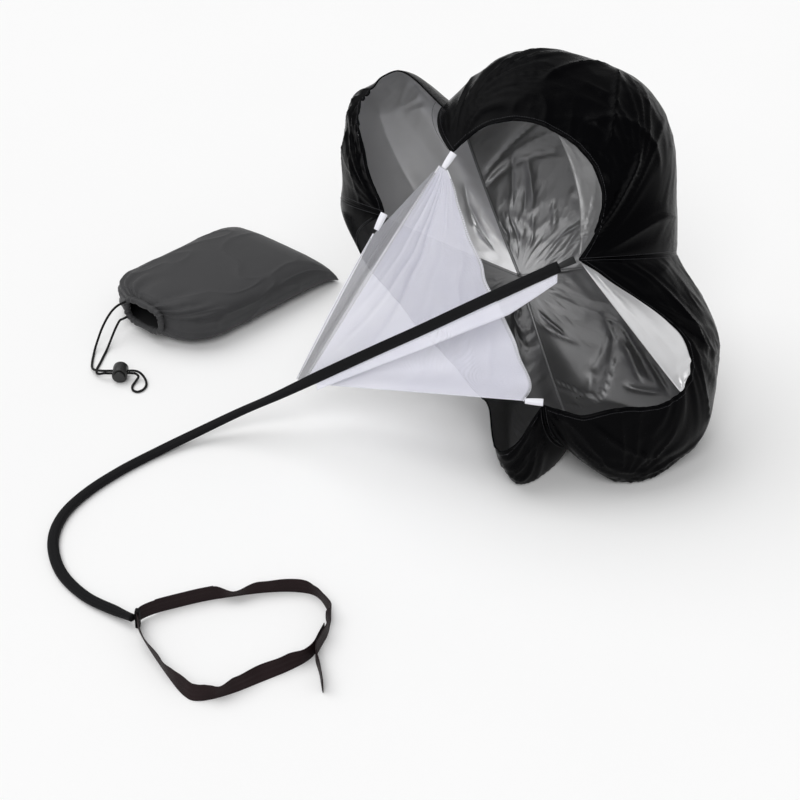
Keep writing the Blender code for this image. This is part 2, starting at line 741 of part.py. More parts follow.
def channel_middle():
    start, along, length = pouch_axis()
    top = POUCH_FORM_SHARES[-1][0]
    thick = CHANNEL_RADIUS * (1 + CHANNEL_RUFFLE_SHARE)
    height = pouch_middle(top, pouch_size(top)[1])
    return start + along * (length * top + FIT_GAP + thick) + WORLD_UP * height


def channel_across(turn):
    """From the channel's middle to the middle of its tube, at a turn about the mouth."""
    along = pouch_axis()[1]
    side = along.cross(WORLD_UP).normalized()
    width, height = pouch_size(POUCH_FORM_SHARES[-1][0])
    across, up = squared(turn)
    return side * (across * (width - POUCH_WALL * 0.5)) + WORLD_UP * (up * (height - POUCH_WALL * 0.5))


def channel_exit(degrees, beyond):
    """A point in front of the channel, where a strand of the cord comes out."""
    along = pouch_axis()[1]
    front = CHANNEL_RADIUS * (1 + CHANNEL_RUFFLE_SHARE) + FIT_GAP
    return channel_middle() + channel_across(math.radians(degrees)) + along * (front + beyond)


def build_channel():
    along = pouch_axis()[1]
    side = along.cross(WORLD_UP).normalized()
    width, height = pouch_size(POUCH_FORM_SHARES[-1][0])
    middle = channel_middle()
    rings = []
    steps = CHANNEL_RUFFLES * 4
    for i in range(steps):
        turn = 2 * math.pi * i / steps
        out = (side * (math.cos(turn) / width) + WORLD_UP * (math.sin(turn) / height)).normalized()
        thick = CHANNEL_RADIUS * (1 + CHANNEL_RUFFLE_SHARE * math.sin(CHANNEL_RUFFLES * turn))
        centre = middle + channel_across(turn)
        ring = []
        for s in range(CHANNEL_SIDES):
            around = 2 * math.pi * s / CHANNEL_SIDES
            ring.append(centre + out * (thick * math.cos(around)) + along * (thick * math.sin(around)))
        rings.append(ring)
    sweep("pouch_channel", rings, "pouch_cloth", closed=True)


# cord lock
def cylinder(name, start, end, radius, slot, sides=LOCK_SIDES):
    """A round bar along Y."""
    rings = []
    for y in (start, end):
        ring = []
        for s in range(sides):
            turn = 2 * math.pi * s / sides
            x = LOCK_CENTRE[0] + radius * math.cos(turn)
            ring.append(Vector((x, y, LOCK_CENTRE[2] + radius * math.sin(turn))))
        rings.append(ring)
    return sweep(name, rings, slot)


def lock_slot(name, near, far):
    """A round-ended cutter along X, for the two strands one above the other."""
    half = (far - near) * 0.5
    reach = LOCK_RADIUS * 1.5
    tall = STRAND_OFFSET + CORD_DIAMETER * 0.5 + CORD_CLEARANCE
    corner = (CORD_DIAMETER * 0.5 + CORD_CLEARANCE) * 0.96
    middle = (far + near) * 0.5
    rings = []
    for x in (-reach, reach):
        ring = []
        for cy, cz, turn in ((1, 1, 0), (-1, 1, 90), (-1, -1, 180), (1, -1, 270)):
            for step in range(7):
                angle = math.radians(turn + 90 * step / 6)
                y = middle + cy * (half - corner) + corner * math.cos(angle)
                z = LOCK_CENTRE[2] + cz * (tall - corner) + corner * math.sin(angle)
                ring.append(Vector((LOCK_CENTRE[0] + x, y, z)))
        rings.append(ring)
    return sweep(name, rings, "lock_plastic")


def cut(made, cutter):
    step = made.modifiers.new("cut", "BOOLEAN")
    step.operation = "DIFFERENCE"
    step.solver = "EXACT"
    step.object = cutter
    cutter.hide_render = True
    cutter.display_type = "WIRE"


def build_lock():
    mid = LOCK_CENTRE[1]
    back = mid + LOCK_LENGTH * 0.5
    front = mid - LOCK_LENGTH * 0.5
    half_slot = CORD_DIAMETER * 0.5 + CORD_CLEARANCE
    barrel = cylinder("cord_lock_barrel", front, back, LOCK_RADIUS, "lock_plastic")
    floor = front + LOCK_BORE_DEPTH
    mouth = front - LOCK_RADIUS
    cut(barrel, cylinder("guide_lock_bore", mouth, floor, LOCK_BORE_RADIUS, "lock_plastic"))
    cut(barrel, lock_slot("guide_barrel_slot", mid - half_slot, mid + half_slot))
    inner_end = floor - SPRING_SPACE
    outer_end = inner_end - PLUNGER_LENGTH
    radius = LOCK_BORE_RADIUS - FIT_GAP
    plunger = cylinder("cord_lock_plunger", outer_end, inner_end, radius, "lock_plastic")
    cut(plunger, lock_slot("guide_plunger_slot", mid - half_slot - PLUNGER_TRAVEL, mid + half_slot))


def build_spring():
    front = LOCK_CENTRE[1] - LOCK_LENGTH * 0.5
    floor = front + LOCK_BORE_DEPTH
    space = SPRING_SPACE - 2 * FIT_GAP - SPRING_WIRE
    low = floor - FIT_GAP - SPRING_WIRE * 0.5
    steps = SPRING_TURNS * SPRING_TURN_STEPS
    path = []
    for i in range(steps + 1):
        turn = 2 * math.pi * SPRING_TURNS * i / steps
        x = LOCK_CENTRE[0] + SPRING_RADIUS * math.cos(turn)
        z = LOCK_CENTRE[2] + SPRING_RADIUS * math.sin(turn)
        path.append(Vector((x, low - space * i / steps, z)))
    rings = []
    for i, (p, run) in enumerate(zip(path, tangents(path))):
        turn = 2 * math.pi * SPRING_TURNS * i / steps
        out = Vector((math.cos(turn), 0.0, math.sin(turn)))
        up = run.cross(out).normalized()
        ring = []
        for s in range(6):
            around = math.pi * s / 3
            ring.append(p + (out * math.cos(around) + up * math.sin(around)) * (SPRING_WIRE * 0.5))
        rings.append(ring)
    sweep("cord_lock_spring", rings, "spring_steel")


def cord_tube(name, path, diameter, slot):
    curve = bpy.data.curves.new(name, "CURVE")
    curve.dimensions = "3D"
    curve.bevel_depth = diameter * 0.5
    curve.bevel_resolution = 2
    curve.use_fill_caps = True
    line = curve.splines.new("POLY")
    line.points.add(len(path) - 1)
    for point, p in zip(line.points, path):
        place = Vector(p) + Vector(SHIFT)
        point.co = (place.x, place.y, place.z, 1.0)
    made = bpy.data.objects.new(name, curve)
    bpy.context.scene.collection.objects.link(made)
    made.data.materials.append(material(slot))


def build_cord():
    x, y, z = LOCK_CENTRE
    top = z + STRAND_OFFSET
    low = z - STRAND_OFFSET
    first, second = EXIT_TURNS
    guide = [channel_exit(first, CORD_DIAMETER * share) for share in EXIT_RUN_SHARES]
    guide += CORD_OUT
    guide += [(x + LOCK_RADIUS * share, y, top) for share in THROUGH_SHARES]
    guide += CORD_LOOP
    guide += [(x + LOCK_RADIUS * share, y, low) for share in RETURN_SHARES]
    guide += CORD_BACK
    guide += [channel_exit(second, CORD_DIAMETER * share) for share in EXIT_RUN_SHARES[::-1]]
    path = above_floor(even_path(guide, CORD_POINTS - 1), CORD_DIAMETER * 0.5 + FLOOR_GAP)
    cord_tube("pouch_cord", path, CORD_DIAMETER, "drawcord")


def main():
    clear_scene()
    build_canopy()
    build_tab("upper_left", GATHER_POINT)
    build_tab("left", GATHER_POINT)
    build_tab("lower", GATHER_POINT)
    build_tab("right", LEASH_GUIDE[0])
    build_mesh()
    build_leash()
    build_leash_strip()
    build_belt()
    build_belt_closure()
    build_belt_loop()
    build_pouch()
    build_channel()
    build_lock()
    build_spring()
    build_cord()


main()
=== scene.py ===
"""The looks of a speed parachute: canopy, netting, leash, waist belt, and a pouch with its cord lock."""
import math

import bmesh
import bpy
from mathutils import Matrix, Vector, noise


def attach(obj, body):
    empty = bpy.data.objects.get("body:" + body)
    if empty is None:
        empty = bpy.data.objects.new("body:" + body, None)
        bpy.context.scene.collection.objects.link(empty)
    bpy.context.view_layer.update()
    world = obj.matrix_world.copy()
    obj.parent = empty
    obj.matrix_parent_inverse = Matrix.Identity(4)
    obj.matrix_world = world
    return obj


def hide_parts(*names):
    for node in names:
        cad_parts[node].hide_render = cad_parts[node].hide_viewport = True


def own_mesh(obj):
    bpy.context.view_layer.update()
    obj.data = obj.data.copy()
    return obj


bl_info = {
    "name": "Speed Parachute",
    "version": (1, 0, 0),
    "blender": (4, 5, 0),
    "location": "View3D > Sidebar > Parachute",
    "description": "Dresses a packed speed parachute in its cloth, webbing, cord and plastic",
    "category": "Object",
}

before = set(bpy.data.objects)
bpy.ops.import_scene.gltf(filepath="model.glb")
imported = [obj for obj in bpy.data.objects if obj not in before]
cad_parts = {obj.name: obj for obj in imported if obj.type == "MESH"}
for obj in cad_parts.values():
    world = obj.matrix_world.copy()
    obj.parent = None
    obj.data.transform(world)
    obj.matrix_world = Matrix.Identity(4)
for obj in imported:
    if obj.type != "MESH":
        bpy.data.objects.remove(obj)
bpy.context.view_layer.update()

# Lengths are in metres and angles in degrees, unless a line says otherwise. Guide points are laid
# out about the middle of the group, then shifted into the shared frame.
SHIFT = Vector((-0.007486, -0.170869, 0.0))
UP = Vector((0.0, 0.0, 1.0))
CLOTH = 0.0008
CLOTH_DEPTH = 0.0004
FIT_GAP = 0.0004
FLOOR_GAP = 0.0002
EVEN_STEPS = 48

# canopy: compass angles go round its mouth, and fullness angles go from its crown to its mouth
CANOPY_CENTRE = Vector((0.2483, 0.2802, 0.3256))
CANOPY_RADIUS = 0.4065
CANOPY_DEPTH = 0.254
CROWN_ANGLE = 0.06
MOUTH_TILT = math.radians(33)
MOUTH_AXIS = Vector((0.0, -math.cos(MOUTH_TILT), math.sin(MOUTH_TILT)))
MOUTH_UP = Vector((0.0, math.sin(MOUTH_TILT), math.cos(MOUTH_TILT)))
MOUTH_SIDE = Vector((1.0, 0.0, 0.0))
# each seam's compass angle at the crown and at the mouth; it turns from one to the other
# between this fullness and its mouth
SEAM_TURN_ANGLE = 70.0
SEAM_ANGLES = {
    "upper_left": (112.0, 125.0),
    "right": (6.4, 3.0),
    "lower": (-73.0, -85.0),
    "left": (158.0, 161.0),
}
SEAM_MOUTHS = {"upper_left": 134.0, "right": 163.0, "lower": 131.0, "left": 131.0}
SEAM_RADIUS_SHARES = {"upper_left": 0.8875, "right": 0.73, "lower": 0.88, "left": 0.9625}
# the two seams of each lobe, with whole turns added where the compass starts again
LOBE_SEAMS = {
    "top": (("right", 0), ("upper_left", 0)),
    "left": (("upper_left", 0), ("left", 0)),
    "lower": (("left", -360), ("lower", 0)),
    "right": (("lower", 0), ("right", 0)),
}
LOBE_RADIUS_SHARES = {
    "top": (0.7875, 0.9625, 1.0625, 1.06, 1.0125),
    "left": (1.13, 1.16, 1.145, 1.08, 1.02),
    "lower": (0.825, 0.7125, 0.6625, 0.655, 0.6625, 0.67, 0.70, 1.0625),
    "right": (1.155, 1.175, 1.11, 1.005, 0.85),
}
LOBE_MOUTHS = {
    "top": (157.5, 152.5, 148.5, 143.2, 138.3),
    "left": (91.0, 104.0, 119.0, 125.0, 129.0),
    "lower": (98.0, 76.0, 66.0, 60.0, 60.0, 68.0, 96.0, 124.0),
    "right": (137.5, 139.5, 136.0, 128.0, 121.5, 128.0, 151.0, 159.0),
}
# where a lobe's edge leaves its first seam before the corner
EARLY_MOUTHS = {"left": 99.0}
LOBE_COLUMNS = {"top": 150, "left": 120, "lower": 130, "right": 140}
LOBE_ROWS = 130
LOBE_NAMES = tuple(LOBE_SEAMS)
SEAM_NAMES = tuple(SEAM_ANGLES)
HEM_WIDTHS = {"top": 0.030, "left": 0.012, "lower": 0.012, "right": 0.056}
HEM_END_SHARE = 0.15
EDGE_RADIUS = 0.0016
EDGE_SIDES = 10
# turned-in hems: the shares of the lobe where each begins and ends, how far its inner edge goes
# towards a straight line between them, and how deep it turns in
TURNED_HEMS = {"top": (0.0, 0.62, 0.68, 0.030), "right": (0.50, 1.0, 1.0, 0.026)}
TURNED_ROWS = 14
HEM_SLACK = 0.006
HEM_CREASE = 0.005
SEAM_WIDTH = 0.0060
SEAM_HEIGHT = 0.0024
SEAM_FLOOR_SHARE = 0.1
SEAM_SIDES = 12
SEAM_STEPS = 140

# folds of the canopy's cloth
FOLD_SHARE = 0.012
FOLD_WAVES = 3
PLEAT_HEIGHT = 0.0065
PLEATS_ACROSS = 9.0
PLEATS_ALONG = 0.011
PLEAT_RISE = (8.0, 80.0)
CROWN_RISE = (2.0, 14.0)
LOBE_SEED_STEP = 7.3
WRINKLE_EDGE_SHARE = 0.05
SPOT_LEAST_SPREAD = 0.25
FLOOR_LIFT_SHARE = 0.6
CRUMPLE_HEIGHT = 0.0034
CRUMPLE_SEED = 11
CRUMPLE_BEND = 0.03
CRUMPLE_BEND_SCALE = 9.0
# the crumples' layers: scale, offset of the noise, share of the height
CRUMPLE_LAYERS = [(17.0, (0.0, 0.0, 0.0), 1.0), (34.0, (4.0, 1.0, 0.0), 0.45), (66.0, (1.0, 9.0, 0.0), 0.18)]
CRUMPLE_PATCH_SCALE = 5.0
CRUMPLE_PATCH_OFFSET = Vector((0.0, 7.0, 0.0))
CRUMPLE_PATCH_LIMITS = (-0.35, 0.45)
CORNER_CREASE_HEIGHT = 0.0050
CORNER_CREASE_RISE = (0.004, 0.05)
CORNER_CREASE_FALL = (0.10, 0.30)
CORNER_CREASE_FANS = 3.6
CORNER_CREASE_DRIFT = 1.4
CORNER_CREASE_DIP = -0.4
CREASE_GAIN = 1.3
CREASE_PAST_END = 0.15
CREASE_FULL = (0.12, 0.75)
CREASE_REACH_WIDTHS = 5
# single creases of each lobe: start and end, each as a share across and a fullness, height, half width
CREASES = {
    "top": [
        (0.99, 33.0, 0.6, 39.0, -0.008, 0.005), (0.99, 36.5, 0.74, 47.0, -0.0075, 0.0045),
        (0.99, 34.8, 0.66, 43.5, 0.005, 0.005), (0.557, 33.4, 0.427, 35.7, -0.006, 0.0045),
        (0.5, 28.0, 0.38, 33.0, 0.005, 0.0045), (0.992, 19.2, 0.942, 12.0, -0.005, 0.0035),
        (0.88, 17.0, 0.8, 10.0, 0.0045, 0.0035), (0.88, 6.0, 0.8, 8.5, -0.004, 0.0035),
        (0.56, 22.0, 0.44, 16.0, -0.0045, 0.004), (0.358, 17.1, 0.3, 30.0, -0.005, 0.0045),
        (0.76, 34.0, 0.69, 20.0, -0.006, 0.009), (0.68, 17.5, 0.59, 9.0, -0.004, 0.007),
        (0.83, 36.0, 0.85, 20.0, 0.005, 0.008), (0.62, 42.0, 0.5, 70.0, 0.006, 0.008),
        (0.95, 20.0, 0.62, 13.0, 0.004, 0.0045), (0.98, 15.0, 0.6, 10.5, -0.0035, 0.004),
        (0.208, 154.0, 0.33, 132.0, 0.006, 0.006), (0.06, 150.0, 0.11, 106.0, 0.006, 0.006),
        (0.24, 150.0, 0.36, 128.0, 0.006, 0.007), (0.44, 141.0, 0.53, 104.0, 0.007, 0.008),
        (0.526, 137.5, 0.266, 120.7, 0.005, 0.007), (0.677, 124.0, 0.56, 100.0, 0.006, 0.008),
    ],
    "left": [
        (0.442, 16.3, 0.508, 10.1, -0.005, 0.004), (0.3, 21.0, 0.442, 12.0, 0.005, 0.004),
        (0.426, 68.0, 0.66, 38.0, 0.005, 0.011), (0.2, 28.0, 0.48, 16.0, 0.004, 0.006),
    ],
    "lower": [
        (0.789, 13.0, 0.96, 11.0, -0.005, 0.0035), (0.838, 17.9, 0.99, 24.0, -0.005, 0.0035),
        (0.8, 15.0, 0.99, 18.0, 0.004, 0.0045), (0.87, 21.0, 0.995, 19.0, -0.0035, 0.0045),
    ],
    "right": [
        (0.006, 51.5, 0.507, 29.9, -0.006, 0.0026), (0.01, 39.0, 0.19, 38.0, -0.0045, 0.003),
        (0.506, 41.3, 0.424, 54.7, -0.007, 0.004), (0.574, 33.5, 0.424, 46.0, 0.006, 0.004),
        (0.608, 26.8, 0.48, 31.0, -0.005, 0.004), (0.141, 11.5, 0.259, 18.5, -0.005, 0.004),
        (0.06, 45.0, 0.23, 32.0, 0.006, 0.005), (0.26, 31.0, 0.51, 29.0, 0.006, 0.005),
        (0.0, 43.0, 0.18, 37.5, -0.004, 0.0045), (0.1, 16.0, 0.3, 22.0, 0.004, 0.0045),
        (0.509, 40.3, 0.423, 48.8, 0.006, 0.006), (0.492, 34.8, 0.393, 43.4, -0.006, 0.006),
        (0.33, 41.5, 0.409, 51.5, 0.006, 0.006), (0.877, 152.0, 0.961, 119.0, 0.006, 0.006),
        (0.82, 130.0, 0.64, 112.0, 0.006, 0.008), (0.645, 122.0, 0.44, 98.0, 0.007, 0.009),
        (0.196, 134.0, 0.3, 112.0, 0.006, 0.007),
    ],
}

# corner tabs
TAB_LENGTH = 0.034
TAB_WIDTH = 0.014
TAB_THICKNESS = 0.003
TAB_GAP = 0.0010
TAB_LIFTS = {"upper_left": 0.0022, "right": 0.0026, "lower": 0.0022, "left": 0.0026}
TAB_RAISE = 0.45
TAB_TAPER = 0.3
TAB_STEPS = 40
TAB_BULGE = 0.9
TAB_LEAST_BULGE = 0.25
TAPE_THICKNESS = 0.0009

# netting
MESH_CLOTH = 0.0006
MESH_LIFT = MOUTH_AXIS * MESH_CLOTH
MESH_CORNER_GAPS = {"upper_left": 0.0008, "lower": 0.0045, "left": 0.0090}
MESH_COLUMNS = 90
MESH_ROWS = 110
MESH_HEM_WIDTH = 0.006
MESH_HEM_END_SHARE = 0.4
MESH_TOP_WIDTH = 0.014
GATHER_POINT = Vector((-0.1910, 0.1941, 0.1131))
GATHER_SPREAD = 0.012
FRONT_HEM_GUIDE = [(0.1457, 0.1879, 0.3980), (0.2038, 0.1263, 0.2810), (0.2450, 0.0585, 0.2100)]
HEM_WAVES = 3.5
HEM_WAVE_HEIGHT = 0.0042
HEM_SMALL_WAVES = 1.7
HEM_SMALL_WAVE_SHARE = 0.6
FRONT_PANEL_SAG = 0.050
SIDE_PANEL_SAG = 0.012
FRONT_PANEL_SEED = 1.0
SIDE_PANEL_SEED = 5.0
NETTING_FOLD = 0.012
SIDE_FOLD_SHARE = 0.6
SHARP_FOLD_SHARE = 0.7
STRIP_DROP = 0.042
STRIP_END_DROP = 0.014
STRIP_OPENING_SHARE = 0.30
STRIP_LEAN = 0.25
STRIP_START_SHARE = 0.005
STRIP_END_SHARE = 0.36

# leash
LEASH_WIDTH = 0.022
LEASH_THICKNESS = 0.013
LEASH_GUIDE = [
    (0.1971, 0.0656, 0.4014), (0.1291, 0.0922, 0.3484), (0.0404, 0.1211, 0.282), (-0.0507, 0.1501, 0.2164),
    (-0.1459, 0.1706, 0.1527), (-0.2405, 0.1796, 0.0952), (-0.3197, 0.181, 0.0539),
    (-0.3995, 0.1597, 0.0224), (-0.4758, 0.1098, 0.0095), (-0.5484, 0.0409, 0.0073),
    (-0.6084, -0.0366, 0.0073), (-0.6437, -0.1124, 0.0073), (-0.6506, -0.1956, 0.0073),
    (-0.6249, -0.2854, 0.0073), (-0.5724, -0.3583, 0.008), (-0.5107, -0.4087, 0.013),
]
LEASH_END = (-0.4805, -0.4360, 0.0200)
LEASH_SIDES = 20
LEASH_RINGS = 420
LEASH_SQUARE = 2.6
# the share of its length over which the leash turns flat, and where it is drawn together at its end
LEASH_FLATTENS = (0.30, 0.46)
LEASH_DRAWN_SHARE = 0.35
LEASH_DRAWN_FROM = 0.965
LEASH_END_REACH = 0.0035

# belt
BELT_WIDTH = 0.030
BELT_THICKNESS = 0.0020
BELT_GUIDE = [
    (-0.1346, -0.4636, 0.0), (-0.1431, -0.4901, 0.0), (-0.1516, -0.5166, 0.0), (-0.165, -0.536, 0.0),
    (-0.193, -0.56, 0.0), (-0.2354, -0.588, 0.0), (-0.2936, -0.624, 0.0), (-0.345, -0.642, 0.0),
    (-0.374, -0.626, 0.0), (-0.4113, -0.563, 0.0), (-0.45, -0.488, 0.0016), (-0.466, -0.452, 0.003),
    (-0.469, -0.436, 0.003), (-0.464, -0.42, 0.003), (-0.44, -0.401, 0.0018), (-0.398, -0.38, 0.0),
    (-0.3384, -0.3581, 0.0), (-0.2476, -0.3381, 0.0), (-0.1834, -0.3371, 0.0), (-0.148, -0.3541, 0.0),
    (-0.1262, -0.4072, 0.0), (-0.1262, -0.4385, 0.0), (-0.1302, -0.465, 0.0), (-0.1387, -0.4915, 0.0),
    (-0.1472, -0.518, 0.0),
]
TAIL_GUIDE = [
    (-0.1476, -0.51905, 0.0), (-0.1472, -0.538, 0.0), (-0.14, -0.5712, 0.0), (-0.133, -0.62, 0.0),
]
# how far the belt leans inwards at some places, which are counted in guide points
BELT_LEANS = [
    (0.0, 0.0), (3.0, 0.0), (4.0, 20.0), (5.0, 30.0), (5.8, 8.0), (6.3, -12.0), (6.8, 18.0), (8.0, 22.0),
    (9.0, -10.0), (10.0, -20.0), (10.6, -6.0), (11.0, 0.0), (16.0, 0.0), (16.4, 34.0), (16.9, 8.0),
    (18.0, 0.0), (19.0, 14.0), (20.0, -4.0), (21.0, 14.0), (22.0, 0.0), (24.0, 0.0),
]
BELT_UNEVEN = 9.0
BELT_UNEVEN_PITCH = 0.09
BELT_STEPS = 16
BELT_SIDES = 24
BELT_SQUARE = 5.0
PATCH_THICKNESS = 0.0010
PATCH_SHARES = (0.1, 0.9)
PATCH_STEPS = 12
DOUBLER_FROM = 14
DOUBLER_TO = 16
LOOP_PLACE = 12
LOOP_THICKNESS = 0.0020
LOOP_WIDTH = 0.014
LOOP_CLEARANCE = 0.0012
LOOP_CORNER_STEPS = 8
LOOP_INNER_CORNER = 0.0002
LOOP_SIDES = 12
LOOP_SQUARE = 4.0

# pouch
POUCH_MOUTH = Vector((-0.540, 0.560, 0.0))
POUCH_END = Vector((-0.2455, 0.8873, 0.0))
POUCH_LENGTH = (POUCH_MOUTH - POUCH_END).length
POUCH_ALONG = (POUCH_MOUTH - POUCH_END).normalized()
POUCH_SIDE = POUCH_ALONG.cross(UP).normalized()
POUCH_WALL = 0.0014
CAD_POUCH_WALL = 0.0020
POUCH_HALF_WIDTH = 0.147
POUCH_HALF_HEIGHT = 0.044
# the pouch's form: share of its length, then shares of its half width and half height
POUCH_FORM_SHARES = [
    (0.0, 0.993, 0.14), (0.02, 1.0, 0.38), (0.06, 1.0, 0.64), (0.14, 1.0, 0.86), (0.3, 1.0, 0.98),
    (0.5, 0.99, 1.0), (0.8, 0.965, 1.04), (0.9, 0.92, 1.05), (0.955, 0.79, 1.0), (0.985, 0.56, 0.84),
    (1.0, 0.37, 0.638),
]
POUCH_SMOOTH_SHARE = 0.06
POUCH_SMOOTH_END = 0.1
POUCH_RISE_SHARE = 0.70
POUCH_ROWS = 110
POUCH_ROW_POWER = 1.35
POUCH_SIDES = 240
POUCH_SQUARE = 3.3
MOUTH_HEIGHT = 0.055
GATHER_COUNT = 17
GATHER_HEIGHT = 0.0030
GATHER_SHARES = (0.72, 1.0)
GATHER_DRIFT = 2.0
SLACK_HEIGHT = 0.0022
UNDERSIDE_FROM = -0.6
UNDERSIDE_FOLD_SHARE = 0.2
CHANNEL_RADIUS = 0.0065
CHANNEL_RUFFLE_SHARE = 0.14
CHANNEL_LENGTH_SHARE = 1.12
CHANNEL_STEPS = 340
CHANNEL_SIDES = 16

# cord lock and drawcord; the shares are of the lock's radius, past its centre
LOCK_CENTRE = Vector((-0.582, 0.390, 0.0160))
LOCK_RADIUS = 0.0160
LOCK_EASE = 0.0012
EASE_FROM = 40.0
FLAT_WITHIN = 2.0
STRAND_OFFSET = 0.0031
EXIT_TURNS = (30.0, -35.0)
EXIT_RUN_SHARES = (0.0, 2.0, 4.0)
THROUGH_SHARES = (-2.4, -1.7, -0.8, 0.8, 1.9)
RETURN_SHARES = (1.8, 0.6, -0.8, -1.65, -2.25)
CORD_DIAMETER = 0.0050
CORD_OUT = [
    (-0.611, 0.552, 0.069), (-0.623, 0.538, 0.056), (-0.634, 0.525, 0.037), (-0.642, 0.512, 0.018),
    (-0.647, 0.496, 0.006), (-0.648, 0.476, 0.0026), (-0.648, 0.454, 0.0026), (-0.646, 0.43, 0.004),
    (-0.638, 0.406, 0.012),
]
CORD_LOOP = [
    (-0.54, 0.388, 0.015), (-0.529, 0.377, 0.006), (-0.526, 0.36, 0.0026), (-0.531, 0.343, 0.0026),
    (-0.542, 0.335, 0.0026), (-0.552, 0.342, 0.0026), (-0.554, 0.358, 0.003), (-0.548, 0.374, 0.005),
    (-0.544, 0.385, 0.01),
]
CORD_BACK = [
    (-0.63, 0.396, 0.008), (-0.635, 0.42, 0.0026), (-0.63, 0.45, 0.0026), (-0.626, 0.476, 0.0026),
    (-0.621, 0.5, 0.005), (-0.615, 0.523, 0.014), (-0.607, 0.546, 0.027),
]
CORD_POINTS = 80
CORD_STEPS_EACH = 5
CORD_SIDES = 16

# stitches
SEAM_STITCH_AWAY = 0.0060
SEAM_STITCH_FROM = 20.0
HEM_STITCH_IN = 0.009
HEM_ENDS = 3
BAND_ENDS = 4
BOX_LENGTH_STEPS = 10
BOX_MARGIN = 0.0035
POUCH_STITCH_FROM = 0.02
POUCH_STITCH_TO = 0.975
POUCH_SEAM_TURNS = (0.0, 0.5)

# finishes
# painted light and shade: each lobe's inside takes the coated face's colour times its share here, lighter or
# darker by how that lobe's inside is lit
INSIDE_LIGHT_SHARES = {"top": 0.80, "left": 1.75, "lower": 0.32, "right": 0.50}
# painted shade: the top lobe's turned hem is the inside colour darkened by this share, on satin like the
# right hem's
HEM_SHADE_SHARE = 0.62
TAPE_COLOUR = (0.88, 0.88, 0.94, 1.0)
HOOK_COLOUR = (0.02, 0.018, 0.02, 1.0)
STEEL_COLOUR = (0.56, 0.56, 0.58, 1.0)
TAPE_PITCH = 0.0012

# camera, floor and lights
VIEW_ELEVATION = math.radians(33)
VIEW_DISTANCE = 4.5
VIEW_HEIGHT = 0.2
METRES_PER_PIXEL = 0.0019
PICTURE_SIDE = 800
SENSOR = 36.0
FLOOR_HALF = 15.0
FLOOR_DROP = 0.0004
# each light: its name, the direction it comes from, its spread and its share of the level
LIGHTS = [
    ("Top light", (-0.45, 0.35, 1.0), 60.0, 0.52),
    ("Front light", (-0.10, -1.0, 0.95), 34.0, 0.48),
]


# paths
def spline(values, at):
    """A smooth curve through evenly spaced values, read at a share of its length."""
    last = len(values) - 1
    place = min(max(at, 0.0), 1.0) * last
    index = min(int(place), last - 1)
    part = place - index
    before = values[max(index - 1, 0)]
    start = values[index]
    end = values[index + 1]
    after = values[min(index + 2, last)]
    square = part * part
    cube = square * part
    return (
        start * (2 * cube - 3 * square + 1)
        + (end - before) * 0.5 * (cube - 2 * square + part)
        + end * (3 * square - 2 * cube)
        + (after - start) * 0.5 * (cube - square)
    )


def smooth_step(value, start, end):
    share = min(max((value - start) / (end - start), 0.0), 1.0)
    return share * share * (3 - 2 * share)


def smooth_path(guide, steps):
    points = [Vector(p) for p in guide]
    count = (len(points) - 1) * steps
    return [spline(points, i / count) for i in range(count + 1)]


def distances(points):
    """The way from the first point to each point, along all those before it."""
    reach = [0.0]
    for a, b in zip(points, points[1:]):
        reach.append(reach[-1] + (b - a).length)
    return reach


def even_path(guide, count):
    """A smooth path through the guide points, cut into equal lengths."""
    fine = smooth_path(guide, EVEN_STEPS)
    reach = distances(fine)
    out = []
    index = 0
    for i in range(count + 1):
        want = reach[-1] * i / count
        while index < len(reach) - 2 and reach[index + 1] < want:
            index += 1
        span = reach[index + 1] - reach[index]
        out.append(fine[index].lerp(fine[index + 1], (want - reach[index]) / span))
    return out


def above_floor(path, height):
    return [Vector((p.x, p.y, max(p.z, height))) for p in path]


def tangents(path):
    last = len(path) - 1
    return [(path[min(i + 1, last)] - path[max(i - 1, 0)]).normalized() for i in range(last + 1)]


def square_to(aim, run):
    """The part of a direction that is square to a run."""
    return (aim - run * aim.dot(run)).normalized()


def ring_about(centre, wide, thin, sides):
    """An elliptical ring of points about a centre, with two half axes."""
    turns = [2 * math.pi * s / sides for s in range(sides)]
    return [centre + wide * math.cos(turn) + thin * math.sin(turn) for turn in turns]


def squared(turn, square):
    """A point on a form between a circle and a square, from -1 to 1 across and up."""
    power = 2 / square
    across = math.copysign(abs(math.cos(turn)) ** power, math.cos(turn))
    return across, math.copysign(abs(math.sin(turn)) ** power, math.sin(turn))


def rounded_section(sides, half_wide, half_thick, square):
    spots = [squared(2 * math.pi * s / sides, square) for s in range(sides)]
    return [(across * half_wide, up * half_thick) for across, up in spots]


def crest(place):
    """Noise with sharp tops, from -1 to 1."""
    return 1 - 2 * abs(noise.noise(place))


# mesh builders
def put(name, data):
    """A new object in the scene."""
    made = bpy.data.objects.new(name, data)
    bpy.context.scene.collection.objects.link(made)
    return made


def add_mesh(name, points, faces, uvs, finishes, face_finish=None, shift=SHIFT):
    """A mesh object in the shared frame; uvs holds one pair for each point of each face."""
    mesh = bpy.data.meshes.new(name)
    mesh.from_pydata([p + shift for p in points], [], faces)
    layer = mesh.uv_layers.new(name="UVMap")
    for polygon in mesh.polygons:
        polygon.use_smooth = True
        if face_finish:
            polygon.material_index = face_finish[polygon.index]
        for loop, pair in zip(polygon.loop_indices, uvs[polygon.index]):
            layer.data[loop].uv = pair
    for finish in finishes:
        mesh.materials.append(finish)
    face_out(mesh)
    return put(name, mesh)


def face_out(mesh):
    """Turns the solid inside out if its signed volume is negative."""
    total = 0.0
    for polygon in mesh.polygons:
        corners = [mesh.vertices[i].co for i in polygon.vertices]
        for b, c in zip(corners[1:], corners[2:]):
            total += corners[0].dot(b.cross(c))
    if total < 0.0:
        mesh.flip_normals()


